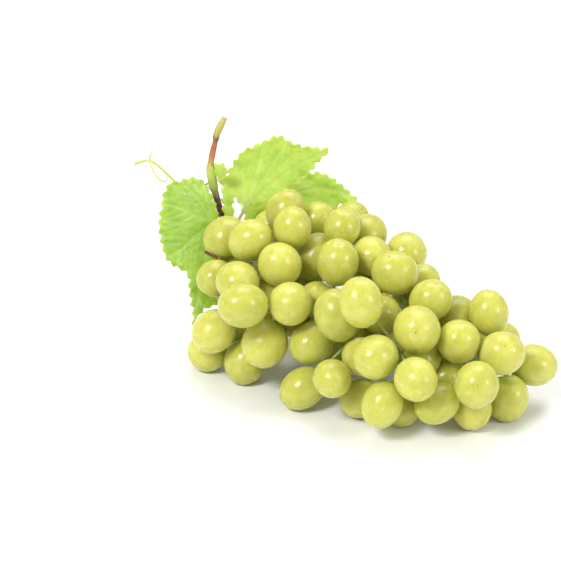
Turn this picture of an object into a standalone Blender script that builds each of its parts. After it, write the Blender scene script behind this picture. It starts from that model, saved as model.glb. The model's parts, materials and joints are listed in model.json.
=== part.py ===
"""A bunch of green grapes on a piece of its cane, lying on a table.

Units are metres, +Z is up and the table is z = 0. The bunch lies along X with its stalk at -X,
and +Y is its back. Everything is set out on the face of the bunch, the side that is seen: a plane
that leans back, on which a place is (across, up, deep). The berries are then settled, so that they
press on no neighbour, leave room for the stalk between them, and rest on the table.
"""

import math

import bmesh
import bpy
import numpy as np
from mathutils import Vector
from mathutils.geometry import delaunay_2d_cdt

MM = 0.001

# Berries
BERRY_WIDTH = 21.0 * MM
BERRY_LENGTH = 23.2 * MM
HIDDEN_BERRIES = 30  # at most: fewer where there is no room
SIZE_SPREAD = 0.06  # how far a hidden berry's size strays from the usual one
CLUSTERS = 11  # hidden berries that have grown pressed together, joined into this many pieces
PRESSED = 2.8 * MM  # how far joined berries sink into each other
GAP = 0.35 * MM  # between pieces that touch
SLACK = 0.5 * GAP  # the most of the gap that settling may leave unused
BERRY_SIDES, BERRY_RINGS = 10, 7
INNER_SIDES, INNER_RINGS = 8, 6

# How hidden berries are strewn round the rachis
RING_PITCH = 0.42  # between rings of berries, as a share of the berry width
RING_BERRIES = 12
GOLDEN_TURN = math.radians(137.5)
SHELLS = (1.0, 0.55)  # as shares of the reach
LEAST_SPACING = 0.9  # between middles, as a share of the berry width
LEVEL_WAY = np.array((0.45, 0.89, 0.0))  # across the rachis, level

# How the berries settle
SHOWN_GIVE = 0.25  # how readily a berry that shows gives way, next to 1 for a hidden one
PACE = 0.3  # share of a fault that is mended in a step
HOLD = 0.30  # pull of a berry that shows back to its place, as a share of the way in a step
DEPTH_FREE = 0.94  # share of that pull that is dropped along the line of sight
HELD_FOR = 0.85  # share of the steps in which the pull fades out
FIRST_STEPS, MAIN_STEPS, MENDING_STEPS = 900, 2000, 700
MENDINGS = 8
SHOWN_HOVER = 2.5 * MM  # below this height over the table, a berry sinks on to it
HIDDEN_HOVER = 6.0 * MM

# Stalk
PEDUNCLE_WIDTH = 4.2 * MM
RACHIS_END_WIDTH = 2.2 * MM
SHOOT_WIDTH = 2.3 * MM  # the widest a side shoot gets, where it carries several berries
PEDICEL_WIDTH = 1.5 * MM
RECEPTACLE_WIDTH = 3.4 * MM
RECEPTACLE_HEIGHT = 1.2 * MM
PEDICEL_SHORTEST = 3.5 * MM
PEDICEL_FREE = 2.5 * MM  # its end, where nothing branches off
STALK_SIDES = 6
STALK_TURNS, STALK_TURN = 12, 4.0  # how often, and by how many degrees, its tubes may be turned to join well
SPOT_PITCH = 1.5 * MM  # between the places on the stalk where a pedicel may start
FORWARD_LIKED = 0.35  # how much a pedicel that leans towards the tip is preferred
NEAR_LIKED = 0.15  # how much a start near the rachis is preferred

# Cane, leaves and tendril
CANE_WIDTH = 3.8 * MM
CANE_SIDES = 9
LEAF_THICKNESS = 0.7 * MM
TOOTH_PITCH = 3.9 * MM
TOOTH_HEIGHT = 1.3 * MM
LEAF_MESH = BERRY_WIDTH / 3  # between the points inside a leaf
# Between the middle of a leaf and what it lies against: the flats of its mesh cut in towards a berry
LEAF_CLEARANCE = LEAF_THICKNESS / 2 + GAP + LEAF_MESH ** 2 / (2.4 * BERRY_WIDTH)
PETIOLE_WIDTH = 1.7 * MM
TENDRIL_WIDTH = 1.3 * MM

# The face: how it leans, how high its middle is, and how far off it is looked at
FACE_LEAN = math.radians(25)
FACE_HEIGHT = 60.0 * MM
SEEN_FROM = 800.0 * MM
DRAWN_FOR = 21.0 * MM  # the berry width for which the places below are drawn
SCALE = BERRY_WIDTH / DRAWN_FOR

# Berries that show: across, up and deep in mm, and size as a share of the usual one
FACE_BERRIES = (
    # shoulder, by the stalk
    (-27.0, 21.0, 38.0, 1.02),
    (-15.0, 19.5, 27.0, 1.02),
    (2.0, 33.5, 49.0, 0.94),
    (6.0, 25.0, 35.0, 0.93),
    (18.5, 30.0, 52.0, 0.90),
    (-31.0, 3.0, 34.0, 0.92),
    (-20.0, 0.0, 18.0, 1.00),
    (-17.0, -12.0, 0.0, 1.06),
    (-2.0, 8.0, 15.0, 1.03),
    # side wing, low on the left
    (-32.5, -25.5, 26.0, 1.02),
    (-36.0, -36.0, 42.0, 0.94),
    (-18.0, -40.5, 30.0, 1.00),
    (-5.0, -31.0, 13.0, 1.08),
    # middle, upper rows
    (35.0, 31.0, 49.0, 0.85),
    (43.0, 23.0, 40.0, 0.98),
    (30.0, 24.0, 33.0, 0.88),
    (18.0, 13.0, 24.0, 1.06),
    (28.5, 9.0, 9.0, 1.02),
    (63.5, 14.0, 24.0, 0.95),
    (57.5, 3.0, 7.0, 1.02),
    # middle, lower rows
    (38.5, -11.5, -14.0, 1.00),
    (29.0, -18.0, 0.0, 1.10),
    (6.5, -12.0, -3.0, 1.02),
    (14.0, -31.0, 12.0, 1.02),
    (11.5, -52.5, 5.0, 0.98),
    (27.5, -47.0, -10.0, 0.88),
    (41.5, -37.0, -4.0, 0.90),
    (49.5, -39.0, -24.0, 1.00),
    (51.0, -59.5, -31.0, 0.95),
    (40.5, -58.5, -12.0, 0.92),
    # towards the tip
    (74.0, -9.5, 3.0, 0.94),
    (67.0, -26.5, -19.0, 1.06),
    (67.0, -49.5, -33.0, 0.96),
    (88.0, -18.0, 2.0, 0.95),
    (87.5, -31.0, -20.0, 1.01),
    (103.5, -16.0, -2.0, 0.94),
    (109.0, -36.0, -17.0, 1.00),
    (96.5, -52.0, -31.0, 1.03),
    (112.5, -57.5, -9.0, 0.97),
    (126.0, -43.5, -3.0, 1.00),
    (79.5, -60.0, -16.0, 0.94),
)
# Berries that only peep out between those
DEEP_BERRIES = (
    (-4.0, 28.0, 52.0, 0.92),
    (-25.0, -4.0, 50.0, 0.88),
    (-18.0, -25.5, 44.0, 0.84),
    (45.0, 12.0, 28.0, 0.94),
    (21.0, -8.0, 20.0, 0.90),
    (51.0, -18.0, 8.0, 0.98),
    (69.0, -1.5, 22.0, 0.92),
    (61.0, -9.0, 20.0, 0.92),
    (112.5, -30.0, 2.0, 0.88),
    (62.0, -64.0, -17.0, 0.86),
    (82.0, -45.0, -5.0, 0.90),
    (95.0, -64.0, -18.0, 0.92),
    (13.0, 3.0, 40.0, 0.96),
    (4.0, -21.0, 24.0, 0.94),
    (27.0, -34.0, 16.0, 0.94),
    (45.0, -29.0, 14.0, 0.94),
    (-7.0, -6.0, 28.0, 0.94),
    (58.0, -30.0, 2.0, 0.90),
    (78.0, -22.0, 12.0, 0.92),
    (42.0, -1.0, 26.0, 0.92),
    (70.0, -37.0, -2.0, 0.92),
)
# The rachis, from where it leaves the cane to the tip of the bunch, in mm on the face
RACHIS = (
    (-24.0, 22.0, 56.0),
    (-16.0, 12.0, 50.0),
    (-5.0, 0.0, 40.0),
    (15.0, -6.0, 31.0),
    (35.0, -12.0, 23.0),
    (55.0, -19.0, 13.0),
    (75.0, -29.0, 4.0),
    (95.0, -38.0, -4.0),
    (113.0, -43.0, -8.0),
)
# Share of the rachis, and there the reach of the berries' centres to its sides and above it, in mm
ENVELOPE = (
    (0.00, 22.0, 6.0),
    (0.15, 33.0, 17.0),
    (0.50, 34.0, 26.0),
    (0.80, 24.0, 19.0),
    (1.00, 12.0, 10.0),
)
# A bare side shoot that stands out at the shoulder: its base is inside the stalk
TWIG = ((-14.0, 11.0, 48.5), (-20.0, 9.0, 43.0), (-26.0, 9.2, 37.5), (-32.5, 11.6, 34.0), (-38.0, 14.6, 32.0))
TWIG_WIDTHS = (2.0, 1.7, 1.5, 1.7, 2.1)
# The cane, from its lower cut to its upper one: across, up, deep, and width as a share of the usual one
CANE = (
    (-26.0, 16.0, 65.0, 1.00),
    (-28.3, 28.0, 59.5, 0.98),
    (-31.0, 38.0, 56.0, 0.92),
    (-32.6, 44.0, 54.0, 0.90),
    (-33.4, 46.5, 53.0, 1.25),
    (-34.2, 51.0, 51.5, 1.32),
    (-35.0, 56.0, 50.0, 1.25),
    (-34.9, 58.5, 49.3, 0.85),
    (-33.9, 64.0, 47.6, 0.88),
    (-32.6, 69.5, 46.0, 0.66),
    (-32.2, 71.5, 45.5, 0.95),
    (-31.8, 73.5, 45.0, 0.92),
    (-30.2, 77.0, 44.0, 0.98),
    (-27.8, 81.5, 42.5, 0.72),
)
# Leaves: the margin round the blade, and the stalk of the leaf from the blade back to the cane
LEFT_MARGIN = (
    (-33.0, 40.0, 46.5), (-36.5, 46.5, 47.0), (-39.0, 50.0, 48.0), (-45.0, 51.5, 50.0), (-50.0, 49.8, 51.0),
    (-55.0, 49.0, 51.0), (-58.5, 43.5, 50.5), (-59.5, 37.0, 50.0), (-60.8, 28.0, 49.0), (-59.0, 16.0, 48.0),
    (-56.0, 9.5, 47.0), (-51.0, 6.0, 46.0), (-46.5, 3.0, 45.0), (-45.5, -6.0, 44.0), (-43.8, -17.0, 42.0),
    (-44.0, -25.0, 38.0), (-40.5, -17.0, 42.0), (-36.0, -13.5, 44.0), (-30.5, -11.0, 46.0),
    (-27.0, 0.0, 48.0), (-26.5, 12.0, 50.0), (-27.5, 24.0, 50.0), (-31.0, 32.0, 48.5),
)
LEFT_PETIOLE = ((-36.0, 26.0, 50.0), (-31.5, 27.0, 53.0), (-28.3, 27.5, 59.5))
BACK_MARGIN = (
    (-19.6, 37.0, 55.5), (-23.2, 41.2, 57.0), (-23.6, 36.0, 56.0), (-22.8, 31.0, 55.5), (-25.0, 27.0, 55.0),
    (-28.0, 31.0, 54.0), (-29.2, 38.0, 53.0), (-29.2, 45.0, 55.0), (-30.5, 51.0, 57.0), (-27.0, 52.0, 60.0),
    (-24.0, 58.0, 62.0), (-19.0, 64.5, 64.0), (-13.5, 67.2, 65.5), (-7.5, 70.0, 66.0), (-1.0, 72.5, 66.0),
    (3.5, 70.0, 67.0), (10.0, 67.5, 68.0), (17.0, 66.5, 69.0), (24.5, 65.2, 70.0), (19.5, 60.0, 69.0),
    (15.5, 55.0, 67.0), (11.0, 48.0, 66.0), (4.0, 40.0, 62.0), (-3.0, 34.5, 58.0), (-10.0, 29.5, 56.0),
    (-16.0, 29.0, 55.0), (-18.6, 33.0, 55.0),
)
BACK_PETIOLE = ((-15.0, 39.0, 57.2), (-19.0, 34.0, 56.6), (-22.0, 29.0, 57.5), (-27.4, 23.5, 61.5))
RIGHT_MARGIN = (
    (3.0, 42.0, 58.0), (6.0, 47.0, 59.5), (10.0, 51.5, 62.0), (14.0, 53.8, 63.0), (20.5, 53.8, 63.5),
    (26.5, 50.8, 63.5), (31.0, 47.5, 63.0), (35.0, 43.8, 62.0), (38.8, 39.8, 60.0), (35.5, 39.4, 62.5),
    (31.5, 38.6, 64.0), (28.0, 36.5, 65.0), (25.0, 33.5, 65.0), (18.0, 32.0, 65.0), (10.0, 35.0, 63.0),
)
RIGHT_PETIOLE = ((8.0, 41.5, 64.0), (1.0, 36.0, 65.5), (-12.0, 27.0, 66.0), (-26.3, 17.5, 64.3))
LEAFLET_MARGIN = (
    (-32.0, 51.5, 50.0), (-33.5, 55.0, 48.5), (-32.5, 58.3, 47.5), (-29.5, 58.6, 47.0), (-27.0, 56.5, 47.0),
    (-26.0, 53.8, 47.5), (-28.0, 51.0, 48.5), (-30.0, 49.0, 49.5),
)
# The tendril: its stem from the cane to its swollen end, and the two arms that leave it
TENDRIL = (
    (-34.3, 50.0, 51.7), (-40.0, 46.5, 55.5), (-46.0, 46.0, 57.5), (-52.0, 49.0, 57.5), (-57.0, 53.5, 56.0),
    (-62.0, 58.0, 54.5), (-66.0, 60.0, 54.0), (-69.5, 59.6, 53.5), (-73.0, 58.4, 53.0),
)
TENDRIL_WIDTHS = (1.1, 1.1, 1.1, 1.1, 1.1, 1.1, 1.15, 1.5, 1.9)
TENDRIL_ARM = ((-65.7, 59.8, 54.0), (-65.2, 62.5, 53.5), (-64.0, 65.5, 53.0))
TENDRIL_CURL = (
    (-65.7, 59.8, 54.0), (-64.4, 56.5, 52.5), (-62.6, 53.0, 51.5), (-60.0, 50.0, 52.0), (-57.2, 49.8, 53.5),
    (-56.6, 52.0, 54.5),
)


def on_face(across, up, deep):
    """The place in the room of a place on the face, given in mm. Deeper places are set wider, as seen."""
    spread = 1 + deep * MM / SEEN_FROM
    up_now = up * spread
    return Vector((
        across * spread,
        up_now * math.sin(FACE_LEAN) + deep * math.cos(FACE_LEAN),
        FACE_HEIGHT / MM + up_now * math.cos(FACE_LEAN) - deep * math.sin(FACE_LEAN),
    )) * MM * SCALE


INTO_FACE = np.array((0.0, math.cos(FACE_LEAN), -math.sin(FACE_LEAN)))
UP_FACE = np.array((0.0, math.sin(FACE_LEAN), math.cos(FACE_LEAN)))


def seen_at(points):
    """Across and up, as the face shows them, of points in the room."""
    off = points - np.array((0.0, 0.0, FACE_HEIGHT * SCALE))
    spread = 1 + off @ INTO_FACE / (SEEN_FROM * SCALE)
    return off[:, 0] / spread, off @ UP_FACE / spread


def smooth_line(points, steps):
    """Points along a smooth curve through the given ones (Catmull-Rom), this many to each stretch."""
    points = [Vector(p) for p in points]
    ends = [2 * points[0] - points[1], *points, 2 * points[-1] - points[-2]]
    line = []
    for a, b, c, d in zip(ends, ends[1:], ends[2:], ends[3:]):
        for step in range(steps):
            t = step / steps
            line.append(0.5 * (2 * b + (c - a) * t + (2 * a - 5 * b + 4 * c - d) * t ** 2
                               + (3 * b - a - 3 * c + d) * t ** 3))
    return line + [points[-1]]


LINE_STEPS = 6  # points of a smooth line to each stretch between given ones


class Line:
    """A smooth line that can be asked for the point at a share of its length."""

    def __init__(self, points):
        self.points = np.array([tuple(p) for p in smooth_line(points, LINE_STEPS)])
        steps_long = np.linalg.norm(np.diff(self.points, axis=0), axis=1)
        self.along = np.concatenate([[0], np.cumsum(steps_long)])
        self.length = self.along[-1]

    def at(self, share):
        return np.array([np.interp(share * self.length, self.along, self.points[:, k]) for k in range(3)])

    def spread(self, values):
        """The values given at the points the line was drawn through, at every third point of the line."""
        return np.interp(self.along[::3], self.along[::LINE_STEPS], values)


rachis = Line([on_face(*p) for p in RACHIS])
twig = Line([on_face(*p) for p in TWIG])
cane = Line([on_face(*p[:3]) for p in CANE])
left_petiole = Line([on_face(*p) for p in LEFT_PETIOLE])
back_petiole = Line([on_face(*p) for p in BACK_PETIOLE])
right_petiole = Line([on_face(*p) for p in RIGHT_PETIOLE])


def stretches(line, width):
    """The straight stretches of a line that stands still, each with its half width."""
    points = line.points[::3]
    return [(a, b, width / 2) for a, b in zip(points, points[1:])]


kept_off = stretches(rachis, PEDUNCLE_WIDTH + 4 * MM)
kept_off += stretches(twig, TWIG_WIDTHS[1] * MM)
aside = (stretches(cane, 1.3 * CANE_WIDTH) + stretches(left_petiole, PETIOLE_WIDTH)
         + stretches(back_petiole, PETIOLE_WIDTH) + stretches(right_petiole, PETIOLE_WIDTH))
# Starts, ends and half widths of what the berries are kept off, and which of it is not the stalk itself
STANDING = (
    np.array([s[0] for s in kept_off + aside]),
    np.array([s[1] for s in kept_off + aside]),
    np.array([s[2] for s in kept_off + aside]),
    np.array([False] * len(kept_off) + [True] * len(aside)),
)


# ---------------------------------------------------------------- where the berries are
def hidden_places(taken):
    """Places for the berries at the back, below and inside: shells round the rachis, where none is taken."""
    places = []
    rings = int(rachis.length / (RING_PITCH * BERRY_WIDTH))
    for shell in SHELLS:
        for ring in range(rings + 1):
            share = ring / rings
            middle = rachis.at(share)
            sides = np.interp(share, [e[0] for e in ENVELOPE], [e[1] for e in ENVELOPE])
            above = np.interp(share, [e[0] for e in ENVELOPE], [e[2] for e in ENVELOPE])
            for turn in range(RING_BERRIES):
                clock = ring * GOLDEN_TURN + turn * math.tau / RING_BERRIES
                side = LEVEL_WAY * math.cos(clock) * sides
                rise = np.array((0.0, 0.0, 1.0)) * math.sin(clock) * above
                place = middle + (side + rise) * shell * MM * SCALE
                place[2] = max(place[2], 0.5 * BERRY_WIDTH)
                others = np.array(taken + places)
                spacing = np.linalg.norm(others - place, axis=1).min()
                if len(places) < HIDDEN_BERRIES and spacing > LEAST_SPACING * BERRY_WIDTH:
                    places.append(place)
    return places


def clusters_of(centres, first):
    """Groups of near neighbours among the berries from index first on, and the pairs that join each group."""
    group_of = {i: {i} for i in range(first, len(centres))}
    most = math.ceil(len(group_of) / CLUSTERS) + 1
    pairs = sorted(((i, j) for i in group_of for j in group_of if i < j),
                   key=lambda p: np.linalg.norm(centres[p[0]] - centres[p[1]]))
    bonds = []
    groups_left = len(group_of)
    for limit in (most, most + 2, len(centres)):
        for i, j in pairs:
            if groups_left <= CLUSTERS:
                break
            if group_of[i] is group_of[j] or len(group_of[i]) + len(group_of[j]) > limit:
                continue
            bonds.append((i, j))
            group_of[i] |= group_of[j]
            for k in group_of[j]:
                group_of[k] = group_of[i]
            groups_left -= 1
    groups = []
    for group in group_of.values():
        if sorted(group) not in groups:
            groups.append(sorted(group))
    return groups, bonds


def closest_on(starts, ends, points):
    """For each segment and each point: the closest place on the segment, and how far along it that is."""
    run = ends - starts
    square = np.maximum((run ** 2).sum(axis=1), 1e-12)
    t = np.einsum("mk,mnk->mn", run, points[None] - starts[:, None]) / square[:, None]
    t = np.clip(t, 0, 1)
    return starts[:, None] + t[..., None] * run[:, None], t


class Bunch:
    """The berries' centres, axes and half sizes, and the pedicels that carry them."""

    def __init__(self):
        shown = [on_face(*row[:3]) for row in FACE_BERRIES + DEEP_BERRIES]
        taken = [np.array(p) for p in shown]
        hidden = hidden_places(taken)
        self.centres = np.array(taken + hidden)
        self.anchors = self.centres.copy()
        self.anchored = np.array([1.0] * len(taken) + [0.0] * len(hidden))
        self.ease = np.where(self.anchored > 0, SHOWN_GIVE, 1.0)
        draw = np.random.default_rng(5)
        sizes = [row[3] for row in FACE_BERRIES + DEEP_BERRIES]
        sizes += list(0.95 + SIZE_SPREAD * draw.uniform(-1, 1, len(hidden)))
        self.half_wide = np.array(sizes) * BERRY_WIDTH / 2
        self.half_long = np.array(sizes) * BERRY_LENGTH / 2
        self.lanes = {}  # berries whose pedicels need room kept for them, and where those start
        outward = [c - rachis.points[np.linalg.norm(rachis.points - c, axis=1).argmin()] for c in self.centres]
        self.axes = np.array([way / np.linalg.norm(way) for way in outward])
        self.roomy = np.zeros(len(self.centres), bool)  # berries with room to hang any way round
        self.join_up()

    def reach(self, who, ways):
        """How far these berries stand out from their middles in these directions."""
        along = (self.axes[who] * ways).sum(axis=-1)
        wide, long = self.half_wide[who], self.half_long[who]
        own = np.sqrt(wide ** 2 + (long ** 2 - wide ** 2) * along ** 2)
        return np.where(self.roomy[who], np.maximum(wide, long), own)

    def join_up(self):
        """Chooses which of the berries behind have grown together."""
        self.groups, self.bonds = clusters_of(self.centres, len(FACE_BERRIES))

    def part_berries(self, move):
        """Pushes overlapping berries apart, and draws joined ones together. Gives the deepest fault."""
        n = len(self.centres)
        i, j = np.triu_indices(n, 1)
        apart = self.centres[j] - self.centres[i]
        dist = np.linalg.norm(apart, axis=1)
        ways = apart / dist[:, None]
        need = self.reach(i, ways) + self.reach(j, ways)
        joined = np.zeros((n, n), bool)
        for a, b in self.bonds:
            joined[min(a, b), max(a, b)] = True
        held = joined[i, j]
        same = np.zeros((n, n), bool)
        for group in self.groups:
            same[np.ix_(group, group)] = True
        least = np.minimum(self.half_wide, self.half_long)  # joined ones meet whichever way they hang
        need = np.where(held, least[i] + least[j] - PRESSED, need + np.where(same[i, j], -0.5 * PRESSED, GAP))
        fault = need - dist
        self.crowded = set(i[~held & (fault > SLACK)]) | set(j[~held & (fault > SLACK)])
        act = (fault > 0) | held
        step = fault[act, None] * ways[act]
        give = self.ease[i[act]] / (self.ease[i[act]] + self.ease[j[act]])
        np.add.at(move, i[act], -step * give[:, None])
        np.add.at(move, j[act], step * (1 - give[:, None]))
        return fault[~held].max()

    def clear_standing(self, move):
        """Pushes berries off the rachis and what else stands still. Gives the deepest fault."""
        near, _ = closest_on(STANDING[0], STANDING[1], self.centres)
        away = self.centres[None] - near
        dist = np.maximum(np.linalg.norm(away, axis=2), 1e-6)
        every = np.arange(len(self.centres))
        fault = self.reach(every, away / dist[..., None]) + STANDING[2][:, None] + GAP - dist
        s, b = np.nonzero(fault > 0)
        np.add.at(move, b, fault[s, b][:, None] * away[s, b] / dist[s, b][:, None])
        worst = fault.max()
        for i, start in self.lanes.items():
            near, _ = closest_on(start[None], self.centres[i][None], self.centres)
            away = self.centres - near[0]
            dist = np.maximum(np.linalg.norm(away, axis=1), 1e-6)
            fault = self.reach(every, away / dist[:, None]) + SHOOT_WIDTH / 2 + 1.5 * GAP - dist
            fault[i] = 0
            fault[np.linalg.norm(self.centres - start, axis=1) < 0.5 * BERRY_WIDTH] = 0
            push = np.maximum(fault, 0)[:, None] * away / dist[:, None]
            move += 0.7 * push
            worst = max(worst, fault.max())
        return worst

    def stay_behind(self):
        """Keeps the hidden berries from rising above the outline of those that show."""
        across, up = seen_at(self.centres)
        front_across, front_up = seen_at(self.anchors[self.anchored > 0])
        half = self.half_wide[self.anchored > 0]
        for i in np.nonzero(self.anchored == 0)[0]:
            aside = np.abs(front_across - across[i])
            over = aside < half
            if over.any():
                edge = (front_up + np.sqrt(np.maximum(half ** 2 - aside ** 2, 0)))[over].max()
                rise = up[i] + self.half_wide[i] - edge
                if rise > 0:
                    self.centres[i] -= 0.1 * rise * UP_FACE
            else:
                near = aside.argmin()
                self.centres[i, 0] += 0.1 * (front_across[near] - across[i])

    def rest_on_table(self, move):
        low = self.centres[:, 2] - self.half_wide
        sunk = low < 0
        move[sunk, 2] -= low[sunk]
        hovering = (low > 0) & (low < np.where(self.anchored > 0, SHOWN_HOVER, HIDDEN_HOVER))
        move[hovering, 2] -= 0.5 * low[hovering]

    def settle(self, steps):
        """Lets the berries find their places. Gives the deepest fault that is left."""
        for step in range(steps):
            move = np.zeros_like(self.centres)
            faults = [self.part_berries(move), self.clear_standing(move)]
            self.centres += PACE * move
            floor = np.zeros_like(self.centres)
            self.rest_on_table(floor)
            self.centres += floor
            fading = 1 - step / steps / HELD_FOR
            if fading > 0:
                off = self.anchors - self.centres
                off -= DEPTH_FREE * (off @ INTO_FACE)[:, None] * INTO_FACE
                self.centres += HOLD * fading * self.anchored[:, None] * off
                self.stay_behind()
        return max(faults)

    def grow_stalk(self):
        """Gives every berry a pedicel from the nearest point of the stalk that has a clear way to it."""
        spots = [rachis.at(s) for s in np.linspace(0.04, 1, int(rachis.length / SPOT_PITCH))]
        ways = [rachis.at(min(1, s + 0.02)) - rachis.at(s - 0.02)
                for s in np.linspace(0.04, 1, len(spots))]
        ways = [w / np.linalg.norm(w) for w in ways]
        owner, along = [-1] * len(spots), [0.0] * len(spots)
        off_rachis = np.array([np.linalg.norm(rachis.points - c, axis=1).min() for c in self.centres])
        self.pedicels = {}
        self.children = {i: [] for i in range(len(self.centres))}
        new_axes = np.zeros_like(self.centres)
        tight = {}
        for i in np.argsort(off_rachis):
            starts = np.array(spots)
            run = self.centres[i] - starts
            dist = np.linalg.norm(run, axis=1)
            run /= dist[:, None]
            ends = self.centres[i] - run * (self.half_long[i] + GAP)
            length = dist - self.half_long[i] - GAP
            others = np.nonzero(np.arange(len(self.centres)) != i)[0]
            near, _ = closest_on(starts, ends, self.centres[others])
            clear = self.room_at(others, near) - SHOOT_WIDTH / 2 - GAP
            clear = np.minimum(clear, self.room_at(others, ends[:, None]) - RECEPTACLE_WIDTH / 2 - GAP)
            fixed = STANDING[3]
            for a, b, half in zip(STANDING[0][fixed], STANDING[1][fixed], STANDING[2][fixed]):
                for t in np.linspace(0, 1, 4):
                    spot = a + t * (b - a)
                    gap_to, _ = closest_on(starts, ends, spot[None])
                    clear = np.minimum(clear, np.linalg.norm(spot - gap_to[:, 0], axis=1) - half
                                       - SHOOT_WIDTH / 2 - GAP)
            forward = (run * np.array(ways)).sum(axis=1)
            cost = length * (1 + FORWARD_LIKED * (1 - forward)) + NEAR_LIKED * np.array(along)
            cost += np.where(length < PEDICEL_SHORTEST, 1.0, 0.0) + np.where(clear < 0, 2 - 100 * clear, 0.0)
            best = int(cost.argmin())
            if clear[best] < 0:
                tight[i] = starts[best]
            new_axes[i] = run[best]
            self.pedicels[i] = (starts[best], ends[best])
            if owner[best] >= 0:
                self.children[owner[best]].append(np.linalg.norm(starts[best] - self.pedicels[owner[best]][0]))
            steps = int(max(0, length[best] - PEDICEL_FREE) / SPOT_PITCH)
            for k in range(1, steps + 1):
                spots.append(starts[best] + run[best] * k * SPOT_PITCH)
                ways.append(run[best])
                owner.append(i)
                along.append(along[best] + k * SPOT_PITCH)
        self.axes = new_axes
        return tight

    def room_at(self, others, places):
        """The room that these berries leave at these places, one row of places to each way."""
        away = self.centres[others][None] - places
        dist = np.maximum(np.linalg.norm(away, axis=2), 1e-6)
        return (dist - self.reach(others, away / dist[..., None])).min(axis=1)


# ---------------------------------------------------------------- shapes
def ball(bm, centre, axis, wide, long, round_sides, rings):
    """A berry: a ball with its poles on the axis, longer along it. The pole at -axis is its stem end."""
    turn = Vector((0, 0, 1)).rotation_difference(Vector(axis)).to_matrix()

    def place(clock, rise):
        flat = math.cos(rise)
        return Vector(centre) + turn @ Vector((
            wide * flat * math.cos(clock), wide * flat * math.sin(clock), long * math.sin(rise)))

    low = bm.verts.new(place(0, -math.pi / 2))
    high = bm.verts.new(place(0, math.pi / 2))
    loops = [[bm.verts.new(place((k + 0.5 * (r % 2)) * math.tau / round_sides, -math.pi / 2 + r * math.pi / rings))
              for k in range(round_sides)] for r in range(1, rings)]
    for k in range(round_sides):
        after = (k + 1) % round_sides
        bm.faces.new((low, loops[0][after], loops[0][k]))
        bm.faces.new((high, loops[-1][k], loops[-1][after]))
        for r, (a, b) in enumerate(zip(loops, loops[1:])):
            if r % 2:
                bm.faces.new((a[k], a[after], b[k]))
                bm.faces.new((a[after], b[after], b[k]))
            else:
                bm.faces.new((a[k], b[after], b[k]))
                bm.faces.new((a[k], a[after], b[after]))


def tube(bm, points, widths, sides, spin=0.0):
    """A closed tube along these points with these widths, its sides turned by spin."""
    points = [Vector(p) for p in points]
    ways = [(b - a).normalized() for a, b in zip(points, points[1:])]
    ways = [ways[0]] + [(a + b).normalized() for a, b in zip(ways, ways[1:])] + [ways[-1]]
    side = ways[0].orthogonal().normalized()
    loops = []
    for point, way, width in zip(points, ways, widths):
        side = (side - side.dot(way) * way).normalized()
        other = way.cross(side)
        loops.append([bm.verts.new(point + float(width) / 2 * (
            math.cos(spin + k * math.tau / sides) * side + math.sin(spin + k * math.tau / sides) * other))
            for k in range(sides)])
    for a, b in zip(loops, loops[1:]):
        for k in range(sides):
            after = (k + 1) % sides
            bm.faces.new((a[k], a[after], b[after], b[k]))
    bm.faces.new(loops[0][::-1])
    bm.faces.new(loops[-1])


def material(name, colour, roughness):
    made = bpy.data.materials.new(name)
    made.use_nodes = True
    shader = made.node_tree.nodes["Principled BSDF"]
    shader.inputs["Base Color"].default_value = (*colour, 1)
    shader.inputs["Roughness"].default_value = roughness
    return made


def node(name, bm, look):
    """An object of the bunch, from this mesh, placed at the middle of its box."""
    box = np.array([v.co for v in bm.verts])
    middle = Vector((box.min(axis=0) + box.max(axis=0)) / 2)
    bmesh.ops.translate(bm, verts=bm.verts, vec=-middle)
    mesh = bpy.data.meshes.new(name)
    bm.to_mesh(mesh)
    bm.free()
    mesh.materials.append(look)
    made = bpy.data.objects.new(name, mesh)
    bpy.context.scene.collection.objects.link(made)
    made.location = middle
    made.parent = bunch_frame
    return made


def united(bodies):
    """One body out of several that run into each other, as a mesh to build on."""
    pieces = []
    for bm in (bodies[0], bodies[1]):
        mesh = bpy.data.meshes.new("piece")
        bm.to_mesh(mesh)
        bm.free()
        pieces.append(bpy.data.objects.new("piece", mesh))
        bpy.context.scene.collection.objects.link(pieces[-1])
    joiner = pieces[0].modifiers.new("join", "BOOLEAN")
    joiner.operation = "UNION"
    joiner.solver = "EXACT"
    joiner.use_self = True
    joiner.object = pieces[1]
    bpy.context.view_layer.update()
    whole = bmesh.new()
    whole.from_mesh(bpy.data.meshes.new_from_object(
        pieces[0].evaluated_get(bpy.context.evaluated_depsgraph_get())))
    for piece in pieces:
        bpy.data.objects.remove(piece)
    bmesh.ops.remove_doubles(whole, verts=whole.verts, dist=0.002 * MM)
    bmesh.ops.triangulate(whole, faces=whole.faces)
    drop_specks(whole)
    bmesh.ops.recalc_face_normals(whole, faces=whole.faces)
    return whole


def shells(bm):
    """The separate shells of a mesh, each a set of faces."""
    left = set(bm.faces)
    found = []
    while left:
        shell, reach = set(), [left.pop()]
        while reach:
            face = reach.pop()
            shell.add(face)
            reach += [f for e in face.edges for f in e.link_faces if f in left]
            left.difference_update(reach)
        found.append(shell)
    return found


def is_one_closed_body(bm):
    return len(shells(bm)) == 1 and all(len(edge.link_faces) == 2 for edge in bm.edges)


def drop_specks(bm):
    """Removes slivers of no volume that the union may leave beside the body."""
    for shell in shells(bm):
        volume = sum(a.co.dot(b.co.cross(c.co)) for a, b, c in (f.verts[:3] for f in shell)) / 6
        if abs(volume) < 0.5 * MM ** 3:
            bmesh.ops.delete(bm, geom=list(shell), context="FACES")


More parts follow.
